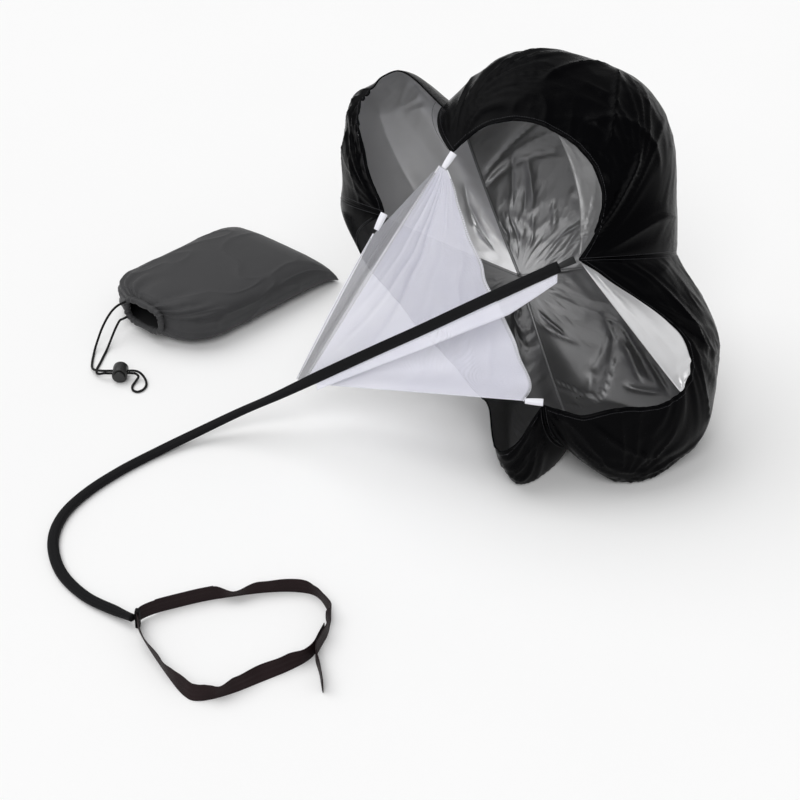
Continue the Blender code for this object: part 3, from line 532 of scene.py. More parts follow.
def slab(name, front, back, finishes):
    """A closed sheet between two grids; the last finish is for the back and the rim."""
    rows = len(front)
    columns = len(front[0])
    middle = front[rows // 2]
    across = distances(middle)
    along = distances([line[columns // 2] for line in front])
    points = [p for row in front for p in row] + [p for row in back for p in row]
    base = rows * columns
    faces = []
    pick = []
    for r in range(rows - 1):
        for c in range(columns - 1):
            a = r * columns + c
            b, d, e = a + 1, a + columns, a + columns + 1
            faces += [(a, b, e, d), (base + a, base + d, base + e, base + b)]
            pick += [0, len(finishes) - 1]
    rim = list(range(columns))
    rim += [r * columns + columns - 1 for r in range(1, rows)]
    rim += [(rows - 1) * columns + c for c in range(columns - 2, -1, -1)]
    rim += [r * columns for r in range(rows - 2, 0, -1)]
    for a, b in zip(rim, rim[1:] + rim[:1]):
        faces.append((b, a, base + a, base + b))
        pick.append(len(finishes) - 1)
    uvs = [[(across[i % base % columns], along[i % base // columns]) for i in face] for face in faces]
    return add_mesh(name, points, faces, uvs, finishes, pick)


def sweep(name, rings, finishes, closed=False, shift=SHIFT):
    """A closed solid through rings of points, capped at both ends or joined in a loop."""
    sides = len(rings[0])
    count = len(rings)
    middle = rings[count // 2]
    around = distances(middle + middle[:1])
    along = distances([ring[0] for ring in rings + rings[:1]])
    faces = []
    uvs = []
    for r in range(count if closed else count - 1):
        here = r * sides
        there = (r + 1) % count * sides
        for s in range(sides):
            after = (s + 1) % sides
            faces.append((here + s, here + after, there + after, there + s))
            near, far = around[s], around[s + 1]
            uvs.append([(near, along[r]), (far, along[r]), (far, along[r + 1]), (near, along[r + 1])])
    if not closed:
        for first, order in ((0, -1), ((count - 1) * sides, 1)):
            faces.append(tuple(first + s for s in range(sides))[::order])
            uvs.append([(around[i - first], along[0]) for i in faces[-1]])
    points = [p for ring in rings for p in ring]
    return add_mesh(name, points, faces, uvs, finishes, shift=shift)


# materials
def node(tree, kind, inputs=None, **fields):
    made = tree.nodes.new(kind)
    for key, value in fields.items():
        setattr(made, key, value)
    for key, value in (inputs or {}).items():
        if isinstance(value, bpy.types.NodeSocket):
            tree.links.new(value, made.inputs[key])
        else:
            made.inputs[key].default_value = value
    return made


def start_material(name, roughness, **sockets):
    made = bpy.data.materials.new(name)
    made.use_nodes = True
    tree = made.node_tree
    shader = tree.nodes["Principled BSDF"]
    shader.inputs["Roughness"].default_value = roughness
    for key, value in sockets.items():
        shader.inputs[key.replace("_", " ")].default_value = value
    return made, tree, shader


def math_node(tree, operation, first, second=0.0, third=0.0):
    return node(tree, "ShaderNodeMath", {0: first, 1: second, 2: third}, operation=operation).outputs[0]


def uv_axes(tree):
    place = node(tree, "ShaderNodeUVMap", uv_map="UVMap")
    split = node(tree, "ShaderNodeSeparateXYZ", {0: place.outputs[0]})
    return split.outputs[0], split.outputs[1]


def wave(tree, value, pitch, shape="SINE"):
    return math_node(tree, shape, math_node(tree, "MULTIPLY", value, 2 * math.pi / pitch))


def object_noise(tree, scale, detail=3.0):
    place = node(tree, "ShaderNodeTexCoord")
    inputs = {"Vector": place.outputs["Object"], "Scale": scale, "Detail": detail}
    return node(tree, "ShaderNodeTexNoise", inputs).outputs["Fac"]


def paint(tree, shader, colour, share, factor):
    """The colour, darker and lighter by a share as the factor goes from 0 to 1."""
    dark = tuple(c * (1 - share) for c in colour[:3]) + (1.0,)
    light = tuple(min(c * (1 + share), 1.0) for c in colour[:3]) + (1.0,)
    mixed = node(tree, "ShaderNodeMix", {0: factor, 6: dark, 7: light}, data_type="RGBA")
    tree.links.new(mixed.outputs[2], shader.inputs["Base Color"])


def bump(tree, shader, height, strength, distance):
    made = node(tree, "ShaderNodeBump", {"Height": height, "Strength": strength, "Distance": distance})
    tree.links.new(made.outputs[0], shader.inputs["Normal"])


def cloth_material(name, colour, pitch, roughness, tint, metallic=0.0, strength=0.25, **more):
    """Thin cloth: threads that pass over and under each other, on fine crumples."""
    made, tree, shader = start_material(name, roughness, Metallic=metallic, **more)
    patch = object_noise(tree, 9.0)
    across, along = uv_axes(tree)
    thread = math_node(tree, "MULTIPLY", wave(tree, across, pitch), wave(tree, along, pitch))
    paint(tree, shader, colour, tint, math_node(tree, "MULTIPLY_ADD", thread, 0.12, patch))
    crumple_grain = object_noise(tree, 55.0, 4.0)
    bump(tree, shader, math_node(tree, "MULTIPLY_ADD", thread, 0.25, crumple_grain), strength, 0.0012)
    rough = node(tree, "ShaderNodeMapRange", {0: patch, 3: roughness - 0.06, 4: roughness + 0.08})
    tree.links.new(rough.outputs[0], shader.inputs["Roughness"])
    return made


def webbing_material(name, colour, roughness, pitch, rib, tint):
    """Webbing: slanted threads that turn back at every rib."""
    made, tree, shader = start_material(name, roughness, Specular_IOR_Level=0.15)
    patch = object_noise(tree, 30.0)
    across, along = uv_axes(tree)
    slant = math_node(tree, "ADD", along, math_node(tree, "PINGPONG", across, rib))
    thread = wave(tree, slant, pitch)
    paint(tree, shader, colour, tint, math_node(tree, "MULTIPLY_ADD", thread, 0.3, patch))
    bump(tree, shader, math_node(tree, "MULTIPLY_ADD", thread, 0.8, patch), 0.5, 0.0006)
    return made


def mesh_material(name, colour, pitch, thread_share):
    """Open netting: the holes are cut by the pattern's own see-through share."""
    made, tree, shader = start_material(name, 0.55, Sheen_Weight=0.15)
    across, along = uv_axes(tree)
    rows = math_node(tree, "ADD", wave(tree, across, pitch, "COSINE"), wave(tree, along, pitch, "COSINE"))
    limits = {0: rows, 1: thread_share - 0.25, 2: thread_share + 0.25, 3: 1.0, 4: 0.0}
    solid = node(tree, "ShaderNodeMapRange", limits)
    tree.links.new(solid.outputs[0], shader.inputs["Alpha"])
    paint(tree, shader, colour, 0.05, object_noise(tree, 12.0))
    bump(tree, shader, solid.outputs[0], 0.4, 0.0004)
    return made


def plastic_material(name, colour, roughness):
    made, tree, shader = start_material(name, roughness)
    grain = object_noise(tree, 900.0, 2.0)
    paint(tree, shader, colour, 0.15, object_noise(tree, 60.0))
    bump(tree, shader, grain, 0.12, 0.0002)
    return made


def steel_material(name, colour, roughness):
    made, tree, shader = start_material(name, roughness, Metallic=1.0)
    streak = object_noise(tree, 400.0, 2.0)
    paint(tree, shader, colour, 0.08, streak)
    bump(tree, shader, streak, 0.1, 0.0001)
    return made


# canopy surface, as the part's source has it, on a finer grid and with its folds
def seam_turn(seam, fullness):
    outline, mouth = SEAM_ANGLES[seam]
    share = (fullness - SEAM_TURN_ANGLE) / (SEAM_MOUTHS[seam] - SEAM_TURN_ANGLE)
    return outline + (mouth - outline) * smooth_step(share, 0.0, 1.0)


def seam_radius(seam):
    return SEAM_RADIUS_SHARES[seam] * CANOPY_RADIUS


def canopy_point(compass, fullness, radius, depth_in, lift=0.0):
    """A point of the cloth, lifted outwards by its wrinkles, and flat where it lies on the floor."""
    turn = math.radians(compass)
    full = math.radians(fullness)
    across = MOUTH_SIDE * math.cos(turn) + MOUTH_UP * math.sin(turn)
    out = radius * math.sin(full)
    along = -CANOPY_DEPTH * math.cos(full)
    normal = across * (math.sin(full) / radius) - MOUTH_AXIS * (math.cos(full) / CANOPY_DEPTH)
    point = CANOPY_CENTRE + across * out + MOUTH_AXIS * along - normal.normalized() * (depth_in - lift)
    point.z = max(point.z, depth_in + max(lift, 0.0) * FLOOR_LIFT_SHARE)
    return point


def lobe_radius(lobe, share):
    first, second = LOBE_SEAMS[lobe]
    between = [part * CANOPY_RADIUS for part in LOBE_RADIUS_SHARES[lobe]]
    return spline([seam_radius(first[0])] + between + [seam_radius(second[0])], share)


def lobe_mouth(lobe, share):
    first, second = LOBE_SEAMS[lobe]
    start = EARLY_MOUTHS.get(lobe, SEAM_MOUTHS[first[0]])
    return spline([start] + list(LOBE_MOUTHS[lobe]) + [SEAM_MOUTHS[second[0]]], share)


def lobe_spot(lobe, share, fullness, radius):
    """A flat place for a point of the lobe, in metres, so that creases keep their width."""
    spread = SPOT_LEAST_SPREAD + (1 - SPOT_LEAST_SPREAD) * math.sin(math.radians(fullness))
    angle = LOBE_SPANS[lobe] * (share - 0.5)
    return Vector((angle * radius * spread, math.radians(fullness) * (radius + CANOPY_DEPTH) * 0.5))


LOBE_SPANS = {
    lobe: math.radians(SEAM_ANGLES[second[0]][1] + second[1] - SEAM_ANGLES[first[0]][1] - first[1])
    for lobe, (first, second) in LOBE_SEAMS.items()
}
# the flat places of each lobe's two mouth corners, and of its creases' ends
MOUTH_CORNERS = {
    lobe: [
        lobe_spot(lobe, end, SEAM_MOUTHS[seam], lobe_radius(lobe, end))
        for end, (seam, turns) in enumerate(seams)
    ]
    for lobe, seams in LOBE_SEAMS.items()
}
CREASE_LINES = {
    lobe: [
        (lobe_spot(lobe, a, full_a, lobe_radius(lobe, a)),
         lobe_spot(lobe, b, full_b, lobe_radius(lobe, b)), height, width)
        for a, full_a, b, full_b, height, width in creases
    ]
    for lobe, creases in CREASES.items()
}


def crease_lift(lobe, spot):
    """The height that the single creases give at a flat place."""
    total = 0.0
    last = 1 + CREASE_PAST_END
    for start, end, height, width in CREASE_LINES[lobe]:
        run = end - start
        share = min(max((spot - start).dot(run) / run.length_squared, -CREASE_PAST_END), last)
        away = (spot - start - run * share).length
        if away < width * CREASE_REACH_WIDTHS:
            fade = smooth_step(share, -CREASE_PAST_END, CREASE_FULL[0])
            fade *= 1 - smooth_step(share, CREASE_FULL[1], last)
            total += height * CREASE_GAIN * fade * math.exp(-away / width)
    return total


def corner_lift(lobe, spot):
    """Tension creases that fan out from the lobe's two mouth corners."""
    total = 0.0
    for index, corner in enumerate(MOUTH_CORNERS[lobe]):
        away = spot - corner
        reach = away.length
        if CORNER_CREASE_RISE[0] < reach < CORNER_CREASE_FALL[1]:
            fan = math.atan2(away.y, away.x) * CORNER_CREASE_FANS
            seed = LOBE_NAMES.index(lobe) * 5.0 + index * 3.0
            height = max(crest(Vector((fan, reach * CORNER_CREASE_DRIFT, seed))), CORNER_CREASE_DIP) ** 3
            fade = smooth_step(reach, *CORNER_CREASE_RISE) * (1 - smooth_step(reach, *CORNER_CREASE_FALL))
            total += CORNER_CREASE_HEIGHT * fade * height
    return total


def crumple(spot, seed):
    """Small sharp wrinkles, as thin coated cloth keeps after it has been packed."""
    place = Vector((spot.x, spot.y, seed))
    bent = place + CRUMPLE_BEND * noise.noise_vector(place * CRUMPLE_BEND_SCALE)
    tops = [share * max(crest(bent * scale + Vector(by)), 0.0) ** 2 for scale, by, share in CRUMPLE_LAYERS]
    patch = noise.noise(place * CRUMPLE_PATCH_SCALE + CRUMPLE_PATCH_OFFSET)
    return CRUMPLE_HEIGHT * smooth_step(patch, *CRUMPLE_PATCH_LIMITS) * sum(tops)


def wrinkle(lobe, share, fullness, radius):
    """How far the cloth stands off its smooth form: pleats from the crown, creases and crumples."""
    seed = LOBE_NAMES.index(lobe) * LOBE_SEED_STEP
    edge = min(min(share, 1 - share) / WRINKLE_EDGE_SHARE, 1.0)
    edge = edge * (2 - edge)
    pleat = noise.noise(Vector((share * radius * PLEATS_ACROSS + seed, fullness * PLEATS_ALONG, seed)))
    spot = lobe_spot(lobe, share, fullness, radius)
    height = pleat * PLEAT_HEIGHT * smooth_step(fullness, *PLEAT_RISE)
    height += crumple(spot, seed) + corner_lift(lobe, spot)
    return (height + crease_lift(lobe, spot)) * edge * smooth_step(fullness, *CROWN_RISE)


def lobe_point(lobe, share, fullness, depth_in, radius, lift):
    first, second = LOBE_SEAMS[lobe]
    folds = FOLD_SHARE * math.sin(math.pi * share) * math.sin(2 * math.pi * FOLD_WAVES * share)
    radius *= 1 + folds * math.sin(math.radians(fullness)) ** 2
    start = seam_turn(first[0], fullness) + first[1]
    end = seam_turn(second[0], fullness) + second[1]
    return canopy_point(start + (end - start) * share, fullness, radius, depth_in, lift)


def degrees_for(radius, fullness, length):
    full = math.radians(fullness)
    speed = math.hypot(radius * math.cos(full), CANOPY_DEPTH * math.sin(full))
    return math.degrees(length / speed)


def lobe_grids(lobe, starts, ends, rows, depths):
    """Grids of the same wrinkled cloth, one for each depth below its outer face."""
    columns = LOBE_COLUMNS[lobe]
    radii = [lobe_radius(lobe, c / columns) for c in range(columns + 1)]
    grids = [[] for _ in depths]
    for r in range(rows + 1):
        for grid in grids:
            grid.append([])
        for c, radius in enumerate(radii):
            share = c / columns
            fullness = starts[c] + (ends[c] - starts[c]) * r / rows
            lift = wrinkle(lobe, share, fullness, radius)
            for grid, depth in zip(grids, depths):
                grid[-1].append(lobe_point(lobe, share, fullness, depth, radius, lift))
    return grids


def lobe_edge(lobe):
    """The fullness at the lobe's mouth edge, per column."""
    columns = LOBE_COLUMNS[lobe]
    return [lobe_mouth(lobe, c / columns) for c in range(columns + 1)]


def corner_point(seam):
    """The mouth's corner at a seam, past the hems that end there."""
    mouth = SEAM_MOUTHS[seam]
    radius = seam_radius(seam)
    lobes = [name for name, seams in LOBE_SEAMS.items() if seam in (seams[0][0], seams[1][0])]
    widest = max(HEM_WIDTHS[name] * HEM_END_SHARE for name in lobes)
    fullness = mouth + degrees_for(radius, mouth, widest + FIT_GAP + TAB_GAP)
    return canopy_point(seam_turn(seam, fullness), fullness, radius, -TAB_LIFTS[seam])


def tab_line(seam, toward):
    start = corner_point(seam)
    along = ((Vector(toward) - start).normalized() + MOUTH_AXIS * TAB_RAISE).normalized()
    return start, start + along * TAB_LENGTH, along


def seam_path(seam, depth):
    """Points down one seam from the crown to the mouth, at a depth below the outer face."""
    end = SEAM_MOUTHS[seam]
    path = []
    for i in range(SEAM_STEPS + 1):
        fullness = CROWN_ANGLE + (end - CROWN_ANGLE) * i / SEAM_STEPS
        path.append(canopy_point(seam_turn(seam, fullness), fullness, seam_radius(seam), depth))
    return path


def build_lobe(lobe, finishes):
    """The lobe's cloth, and the line of points at its edge."""
    mouth = lobe_edge(lobe)
    crown = [CROWN_ANGLE] * len(mouth)
    outer, inner = lobe_grids(lobe, crown, mouth, LOBE_ROWS, (CLOTH_DEPTH, CLOTH_DEPTH + CLOTH))
    made = slab("cloth_" + lobe + "_lobe", outer, inner, finishes)
    edge = [a.lerp(b, 0.5) for a, b in zip(outer[-1], inner[-1])]
    return made, edge


def turned_hem(lobe, edge, finishes):
    """The hem that turns in from the mouth's edge, cut straight along its inner side."""
    first_share, last_share, straight, deep = TURNED_HEMS[lobe]
    columns = LOBE_COLUMNS[lobe]
    line = edge[round(first_share * columns):round(last_share * columns) + 1]
    start = line[0]
    chord = line[-1] - start
    front = []
    for i, p in enumerate(line):
        share = min(max((p - start).dot(chord) / chord.length_squared, 0.0), 1.0)
        target = p.lerp(start + chord * share, straight)
        middle = math.sin(math.pi * i / (len(line) - 1)) ** 0.5
        row = []
        for r in range(TURNED_ROWS + 1):
            part = r / TURNED_ROWS
            slack = noise.noise(Vector((i * 0.05, part * 2.5, 3.0))) * HEM_SLACK * math.sin(math.pi * part)
            sharp = max(crest(Vector((i * 0.03 + part * 1.6, part * 1.2, 8.0))), 0.0) ** 3
            slack += sharp * HEM_CREASE * math.sin(math.pi * min(part * 1.2, 1.0))
            depth = deep * middle * math.sin(math.pi * 0.5 * part) + slack * middle
            row.append(p.lerp(target, part) - MOUTH_AXIS * depth)
        front.append(row)
    return slab("hem_" + lobe + "_cloth", front, shifted(front, -MOUTH_AXIS * CLOTH), finishes)


def seam_ridge(seam, finishes):
    """The folded seam that stands up a little on both faces of the cloth."""
    path = seam_path(seam, CLOTH_DEPTH + CLOTH * 0.5)
    outward = seam_path(seam, CLOTH_DEPTH - 0.01)
    rings = []
    for p, q, run in zip(path, outward, tangents(path)):
        up = square_to(q - p, run)
        side = run.cross(up).normalized()
        ring = ring_about(p, side * (SEAM_WIDTH * 0.5), up * (SEAM_HEIGHT * 0.5), SEAM_SIDES)
        rings.append(above_floor(ring, SEAM_HEIGHT * SEAM_FLOOR_SHARE))
    made = sweep("seam_" + seam, rings, finishes)
    for polygon in made.data.polygons:
        polygon.material_index = 0 if polygon.index % SEAM_SIDES < SEAM_SIDES // 2 else 1
    return made


def tape_loop(name, seam, toward, finishes):
    """A short tape folded on itself, its two ends caught in the corner seam."""
    start, end, along = tab_line(seam, toward)
    side = along.cross(MOUTH_AXIS).normalized()
    face = side.cross(along).normalized()
    length = (end - start).length
    thin = TAPE_THICKNESS * 0.5
    rings = []
    for i in range(TAB_STEPS):
        turn = 2 * math.pi * i / TAB_STEPS
        reach = 0.5 - 0.5 * math.cos(turn)
        bulge = (TAB_LEAST_BULGE + (1 - TAB_LEAST_BULGE) * reach) * TAB_THICKNESS * TAB_BULGE
        middle = start + along * (length * reach) + face * (math.sin(turn) * bulge)
        slope = (along * math.sin(turn) * 0.5 * length + face * TAB_THICKNESS * math.cos(turn)).normalized()
        normal = side.cross(slope).normalized()
        wide = TAB_WIDTH * 0.5 * (1 - TAB_TAPER * reach * reach)
        corners = [(-wide, -thin), (wide, -thin), (wide, thin), (-wide, thin)]
        rings.append([middle + side * across + normal * up for across, up in corners])
    return sweep(name, rings, finishes, closed=True)


# netting
def panel_fold(share, down, seed, height):
    """Loose folds of netting that gather towards the leash."""
    fan = math.sin(math.pi * share) ** 0.6 * math.sin(math.pi * down) ** 0.5
    slant = share * 3.4 + down * 1.7
    soft = noise.noise(Vector((slant, down * 0.9, seed)))
    sharp = max(crest(Vector((slant * 1.9 + 3.0, down * 1.3, seed + 2.0))), 0.0) ** 3
    return fan * height * (soft + SHARP_FOLD_SHARE * sharp)


def panel_grid(left, right, most_sag, seed, height):
    """Points of a panel that hangs between two lines and sags away from the mouth."""
    grid = []
    for r, (a, b) in enumerate(zip(left, right)):
        row = []
        down = r / (len(left) - 1)
        for c in range(MESH_COLUMNS + 1):
            share = c / MESH_COLUMNS
            sag = most_sag * math.sin(math.pi * share) * math.sin(math.pi * down) ** 0.7
            sag += panel_fold(share, down, seed, height)
            row.append(a.lerp(b, share) - MOUTH_AXIS * sag)
        grid.append(row)
    return grid


def shifted(grid, by):
    return [[p + by for p in row] for row in grid]


def edge_band(grid, column, aim):
    """A narrow strip beside one edge of a grid: its near and far lines of points."""
    line = [row[column] for row in grid]
    near = []
    far = []
    for r, (p, run) in enumerate(zip(line, tangents(line))):
        out = square_to(aim, run)
        bulge = (1 - MESH_HEM_END_SHARE) * math.sin(math.pi * r / (len(line) - 1))
        near.append(p + out * FIT_GAP)
        far.append(p + out * (FIT_GAP + MESH_HEM_WIDTH * (MESH_HEM_END_SHARE + bulge)))
    return near, far


def band(name, near, far, step, finishes, columns=6):
    """A flat strip between two lines of points, as thick as the step."""
    back = [[a.lerp(b, c / columns) for c in range(columns + 1)] for a, b in zip(near, far)]
    return slab(name, shifted(back, step), back, finishes)


def past_tab(seam):
    """Where a panel begins, a little beyond the end of a corner tab."""
    start, end, along = tab_line(seam, GATHER_POINT)
    return end + along * MESH_CORNER_GAPS[seam]


def mesh_lines():
    """The front panel's two edges, and the direction to its left, as the part's source has them."""
    side = tab_line("upper_left", GATHER_POINT)[2].cross(MOUTH_AXIS).normalized()
    left_side = side if side.x < 0 else -side
    tip = past_tab("upper_left")
    left = even_path([tip + left_side * MESH_TOP_WIDTH * 0.5, GATHER_POINT], MESH_ROWS)
    start = tip - left_side * MESH_TOP_WIDTH * 0.5
    plain = even_path([start] + FRONT_HEM_GUIDE + [past_tab("lower")], MESH_ROWS)
    right = []
    for i, p in enumerate(plain):
        share = i / MESH_ROWS
        turn = 2 * math.pi * HEM_WAVES * share
        waves = math.sin(turn) + HEM_SMALL_WAVE_SHARE * math.sin(turn * HEM_SMALL_WAVES)
        right.append(p - left_side * (HEM_WAVE_HEIGHT * waves * math.sin(math.pi * share) ** 0.5))
    return left, right, left_side


# leash
def leash_path(rings):
    start, end, along = tab_line("right", LEASH_GUIDE[0])
    path = even_path([end + along * TAB_GAP] + LEASH_GUIDE + [LEASH_END], rings)
    return above_floor(path, LEASH_THICKNESS * 0.5 + FLOOR_GAP)


def leash_wide_axis(run, share):
    """Across the leash: facing out where it hangs, flat where it lies on the floor."""
    facing = run.cross(MOUTH_AXIS).normalized()
    flat = run.cross(UP).normalized()
    if facing.dot(flat) < 0:
        flat = -flat
    return facing.lerp(flat, smooth_step(share, *LEASH_FLATTENS)).normalized()


def build_leash(finishes):
    path = leash_path(LEASH_RINGS)
    rings = []
    section = rounded_section(LEASH_SIDES, LEASH_WIDTH * 0.5, LEASH_THICKNESS * 0.5, LEASH_SQUARE)
    for i, (p, run) in enumerate(zip(path, tangents(path))):
        share = i / LEASH_RINGS
        wide = square_to(leash_wide_axis(run, share), run)
        thin = wide.cross(run).normalized()
        drawn = 1 - LEASH_DRAWN_SHARE * smooth_step(share, LEASH_DRAWN_FROM, 1.0)
        rings.append([p + wide * (across * drawn) + thin * up for across, up in section])
    reach = (path[-1] - path[-2]).normalized() * LEASH_END_REACH
    rings.append([p + reach for p in rings[-1]])
    return sweep("leash_cloth", rings, finishes), path


def build_leash_strip(finishes):
    """The strip of netting that hangs from the leash's underside."""
    path = leash_path(LEASH_RINGS)
    runs = tangents(path)
    first = int(LEASH_RINGS * STRIP_START_SHARE)
    last = int(LEASH_RINGS * STRIP_END_SHARE)
    down = (-UP + MOUTH_AXIS * STRIP_LEAN).normalized()
    near = []
    far = []
    for i in range(first, last + 1):
        wide = leash_wide_axis(runs[i], i / LEASH_RINGS)
        low = wide if wide.z < 0 else -wide
        share = (i - first) / (last - first)
        opening = min(MESH_HEM_END_SHARE + share / STRIP_OPENING_SHARE, 1.0)
        drop = (STRIP_DROP + (STRIP_END_DROP - STRIP_DROP) * share) * opening
        near.append(path[i] + low * (LEASH_WIDTH * 0.5 + FIT_GAP * 2))
        far.append(near[-1] + down * drop)
    return band("netting_strip", near, far, MESH_LIFT, finishes)


# belt
def upright_band(name, path, thickness, finishes, offset=0.0, margin=0.0, leans=None):
    """A woven strip that stands on its edge along a path and leans inwards by an angle at each point."""
    section = rounded_section(BELT_SIDES, BELT_WIDTH * 0.5 - margin, thickness * 0.5, BELT_SQUARE)
    rings = []
    for i, (p, run) in enumerate(zip(path, tangents(path))):
        side = run.cross(UP).normalized()
        turn = leans[i] if leans else 0.0
        rise = UP * math.cos(turn) + side * math.sin(turn)
        face = side * math.cos(turn) - UP * math.sin(turn)
        ring = [p + face * (offset + across) + rise * (BELT_WIDTH * 0.5 + up) for up, across in section]
        rings.append(above_floor(ring, 0.0))
    return sweep(name, rings, finishes)


def belt_path():
    return above_floor(smooth_path(BELT_GUIDE, BELT_STEPS), 0.0)


def tail_path():
    return above_floor(smooth_path(TAIL_GUIDE, BELT_STEPS), 0.0)


def belt_leans():
    """How far the belt leans at each point of its path, in radians, with a little unevenness."""
    out = []
    for i in range((len(BELT_GUIDE) - 1) * BELT_STEPS + 1):
        place = i / BELT_STEPS
        lean = 0.0
        for (a, lean_a), (b, lean_b) in zip(BELT_LEANS, BELT_LEANS[1:]):
            if a <= place <= b:
                lean = lean_a + (lean_b - lean_a) * smooth_step(place, a, b)
        uneven = BELT_UNEVEN * noise.noise(Vector((i * BELT_UNEVEN_PITCH, 3.0, 1.0)))
        out.append(math.radians(lean + uneven * min(abs(lean) / 10, 1.0)))
    return out


def patch_path(path):
    """The line of the hook patch, between the belt's two ends where they overlap."""
    start, end = path[0], path[-1]
    back = (path[-1 - 2 * BELT_STEPS] - end).normalized()
    across = UP.cross(back).normalized()
    middle = across * ((start - end).dot(across) * 0.5)
    length = (start - end).dot(back)
    first, last = PATCH_SHARES
    shares = [first + (last - first) * i / PATCH_STEPS for i in range(PATCH_STEPS + 1)]
    return [end + middle + back * (length * share) for share in shares]


def build_belt(finishes, patch_finishes):
    """The belt, the part of it that is doubled by the leash, its hook patch and its loose tail."""
    path = belt_path()
    part = path[DOUBLER_FROM * BELT_STEPS:DOUBLER_TO * BELT_STEPS + 1]
    away = BELT_THICKNESS * 0.5 + FIT_GAP + PATCH_THICKNESS * 0.5
    return (
        upright_band("belt_cloth", path, BELT_THICKNESS, finishes, leans=belt_leans()),
        upright_band("belt_doubler_cloth", part, PATCH_THICKNESS, finishes, offset=-away),
        upright_band("hook_patch_cloth", patch_path(path), PATCH_THICKNESS, patch_finishes, margin=FIT_GAP),
        upright_band("belt_tail_cloth", tail_path(), BELT_THICKNESS, finishes),
    )


def build_belt_loop(finishes):
    """The keeper loop round the belt, at the leash's end."""
    path = belt_path()
    index = LOOP_PLACE * BELT_STEPS
    centre = path[index]
    run = (path[index + 1] - path[index - 1]).normalized()
    side = run.cross(UP).normalized()
    half_in = BELT_THICKNESS * 0.5 + LOOP_CLEARANCE
    low = LOOP_THICKNESS
    high = centre.z + BELT_WIDTH + LOOP_CLEARANCE
    middle = Vector((centre.x, centre.y, 0.0))
    rings = []
    section = rounded_section(LOOP_SIDES, LOOP_WIDTH * 0.5, LOOP_THICKNESS * 0.5, LOOP_SQUARE)
    corners = [(half_in, high, 0), (-half_in, high, 90), (-half_in, low, 180), (half_in, low, 270)]
    for across, height, turn in corners:
        for step in range(LOOP_CORNER_STEPS + 1):
            angle = math.radians(turn + 90 * step / LOOP_CORNER_STEPS)
            aim = side * math.cos(angle) + UP * math.sin(angle)
            spot = middle + side * across + UP * height + aim * (LOOP_INNER_CORNER + LOOP_THICKNESS * 0.5)
            rings.append([spot + run * wide + aim * up for wide, up in section])
    return sweep("leash_end_loop", rings, finishes, closed=True)


# pouch
def pouch_size(share):
    """Half the pouch's width and height at a share of its length."""
    width, height = POUCH_FORM_SHARES[-1][1:]
    for (a, width_a, height_a), (b, width_b, height_b) in zip(POUCH_FORM_SHARES, POUCH_FORM_SHARES[1:]):
        if share <= b:
            part = (share - a) / (b - a)
            width = width_a + (width_b - width_a) * part
            height = height_a + (height_b - height_a) * part
            break
    return POUCH_HALF_WIDTH * width, POUCH_HALF_HEIGHT * height


def rounded_size(share):
    """The pouch's size with its steps along the length smoothed away."""
    spread = POUCH_SMOOTH_SHARE * min(share, 1 - share, POUCH_SMOOTH_END) / POUCH_SMOOTH_END
    sizes = [pouch_size(share + spread * offset) for offset in (-1.0, -0.5, 0.0, 0.5, 1.0)]
    return sum(w for w, h in sizes) / len(sizes), sum(h for w, h in sizes) / len(sizes)


def pouch_middle(share, height):
    """The height of the pouch's middle, which climbs to its mouth."""
    rise = min(max((share - POUCH_RISE_SHARE) / (1 - POUCH_RISE_SHARE), 0.0), 1.0)
    return height + (MOUTH_HEIGHT - height) * rise * rise


def gather(turn):
    """The ruffle of the gathers round the mouth, from -1 to 1."""
    place = Vector((math.cos(turn), math.sin(turn), 0.0))
    return math.sin(turn * GATHER_COUNT + GATHER_DRIFT * noise.noise(place * 2.0))


def pouch_wrinkle(share, turn):
    """Gathers that run out from the mouth, and a few slack folds further back."""
    x, y = math.cos(turn), math.sin(turn)
    gathers = gather(turn) * GATHER_HEIGHT * smooth_step(share, *GATHER_SHARES)
    slack = noise.noise(Vector((x * 1.6, y * 1.6, share * 3.0 + 5.0))) * SLACK_HEIGHT
    crease = max(crest(Vector((x * 2.4 + 3.0, y * 2.4, share * 4.0))), 0.0) ** 4 * SLACK_HEIGHT
    ends = smooth_step(share, 0.0, 0.15) * (1 - smooth_step(share, 0.9, 1.0))
    return gathers + (slack + crease) * ends


def pouch_ring(share, inset):
    """The pouch's section at a share of its length, a little way in from its outer face."""
    width, height = rounded_size(share)
    middle = pouch_middle(share, height)
    ring = []
    for s in range(POUCH_SIDES):
        turn = 2 * math.pi * s / POUCH_SIDES
        across, up = squared(turn, POUCH_SQUARE)
        fold = pouch_wrinkle(share, turn)
        if up < UNDERSIDE_FROM:
            fold *= UNDERSIDE_FOLD_SHARE
        place = POUCH_END + POUCH_ALONG * (POUCH_LENGTH * share)
        place += POUCH_SIDE * (across * (width - inset + fold))
        ring.append(place + UP * (middle + up * (height - inset + fold)))
    return above_floor(ring, inset)


def build_pouch(finishes):
    """The pouch's cloth, out along its outer face and back along its inner face."""
    start = POUCH_WALL / POUCH_LENGTH
    shares = [1 - (1 - i / POUCH_ROWS) ** POUCH_ROW_POWER for i in range(POUCH_ROWS + 1)]
    outer = [pouch_ring(share, 0.0) for share in shares]
    inner = [pouch_ring(start, POUCH_WALL)]
    inner += [pouch_ring(share, POUCH_WALL) for share in shares if share > start * 1.5]
    return sweep("pouch_cloth", outer + inner[::-1], finishes)


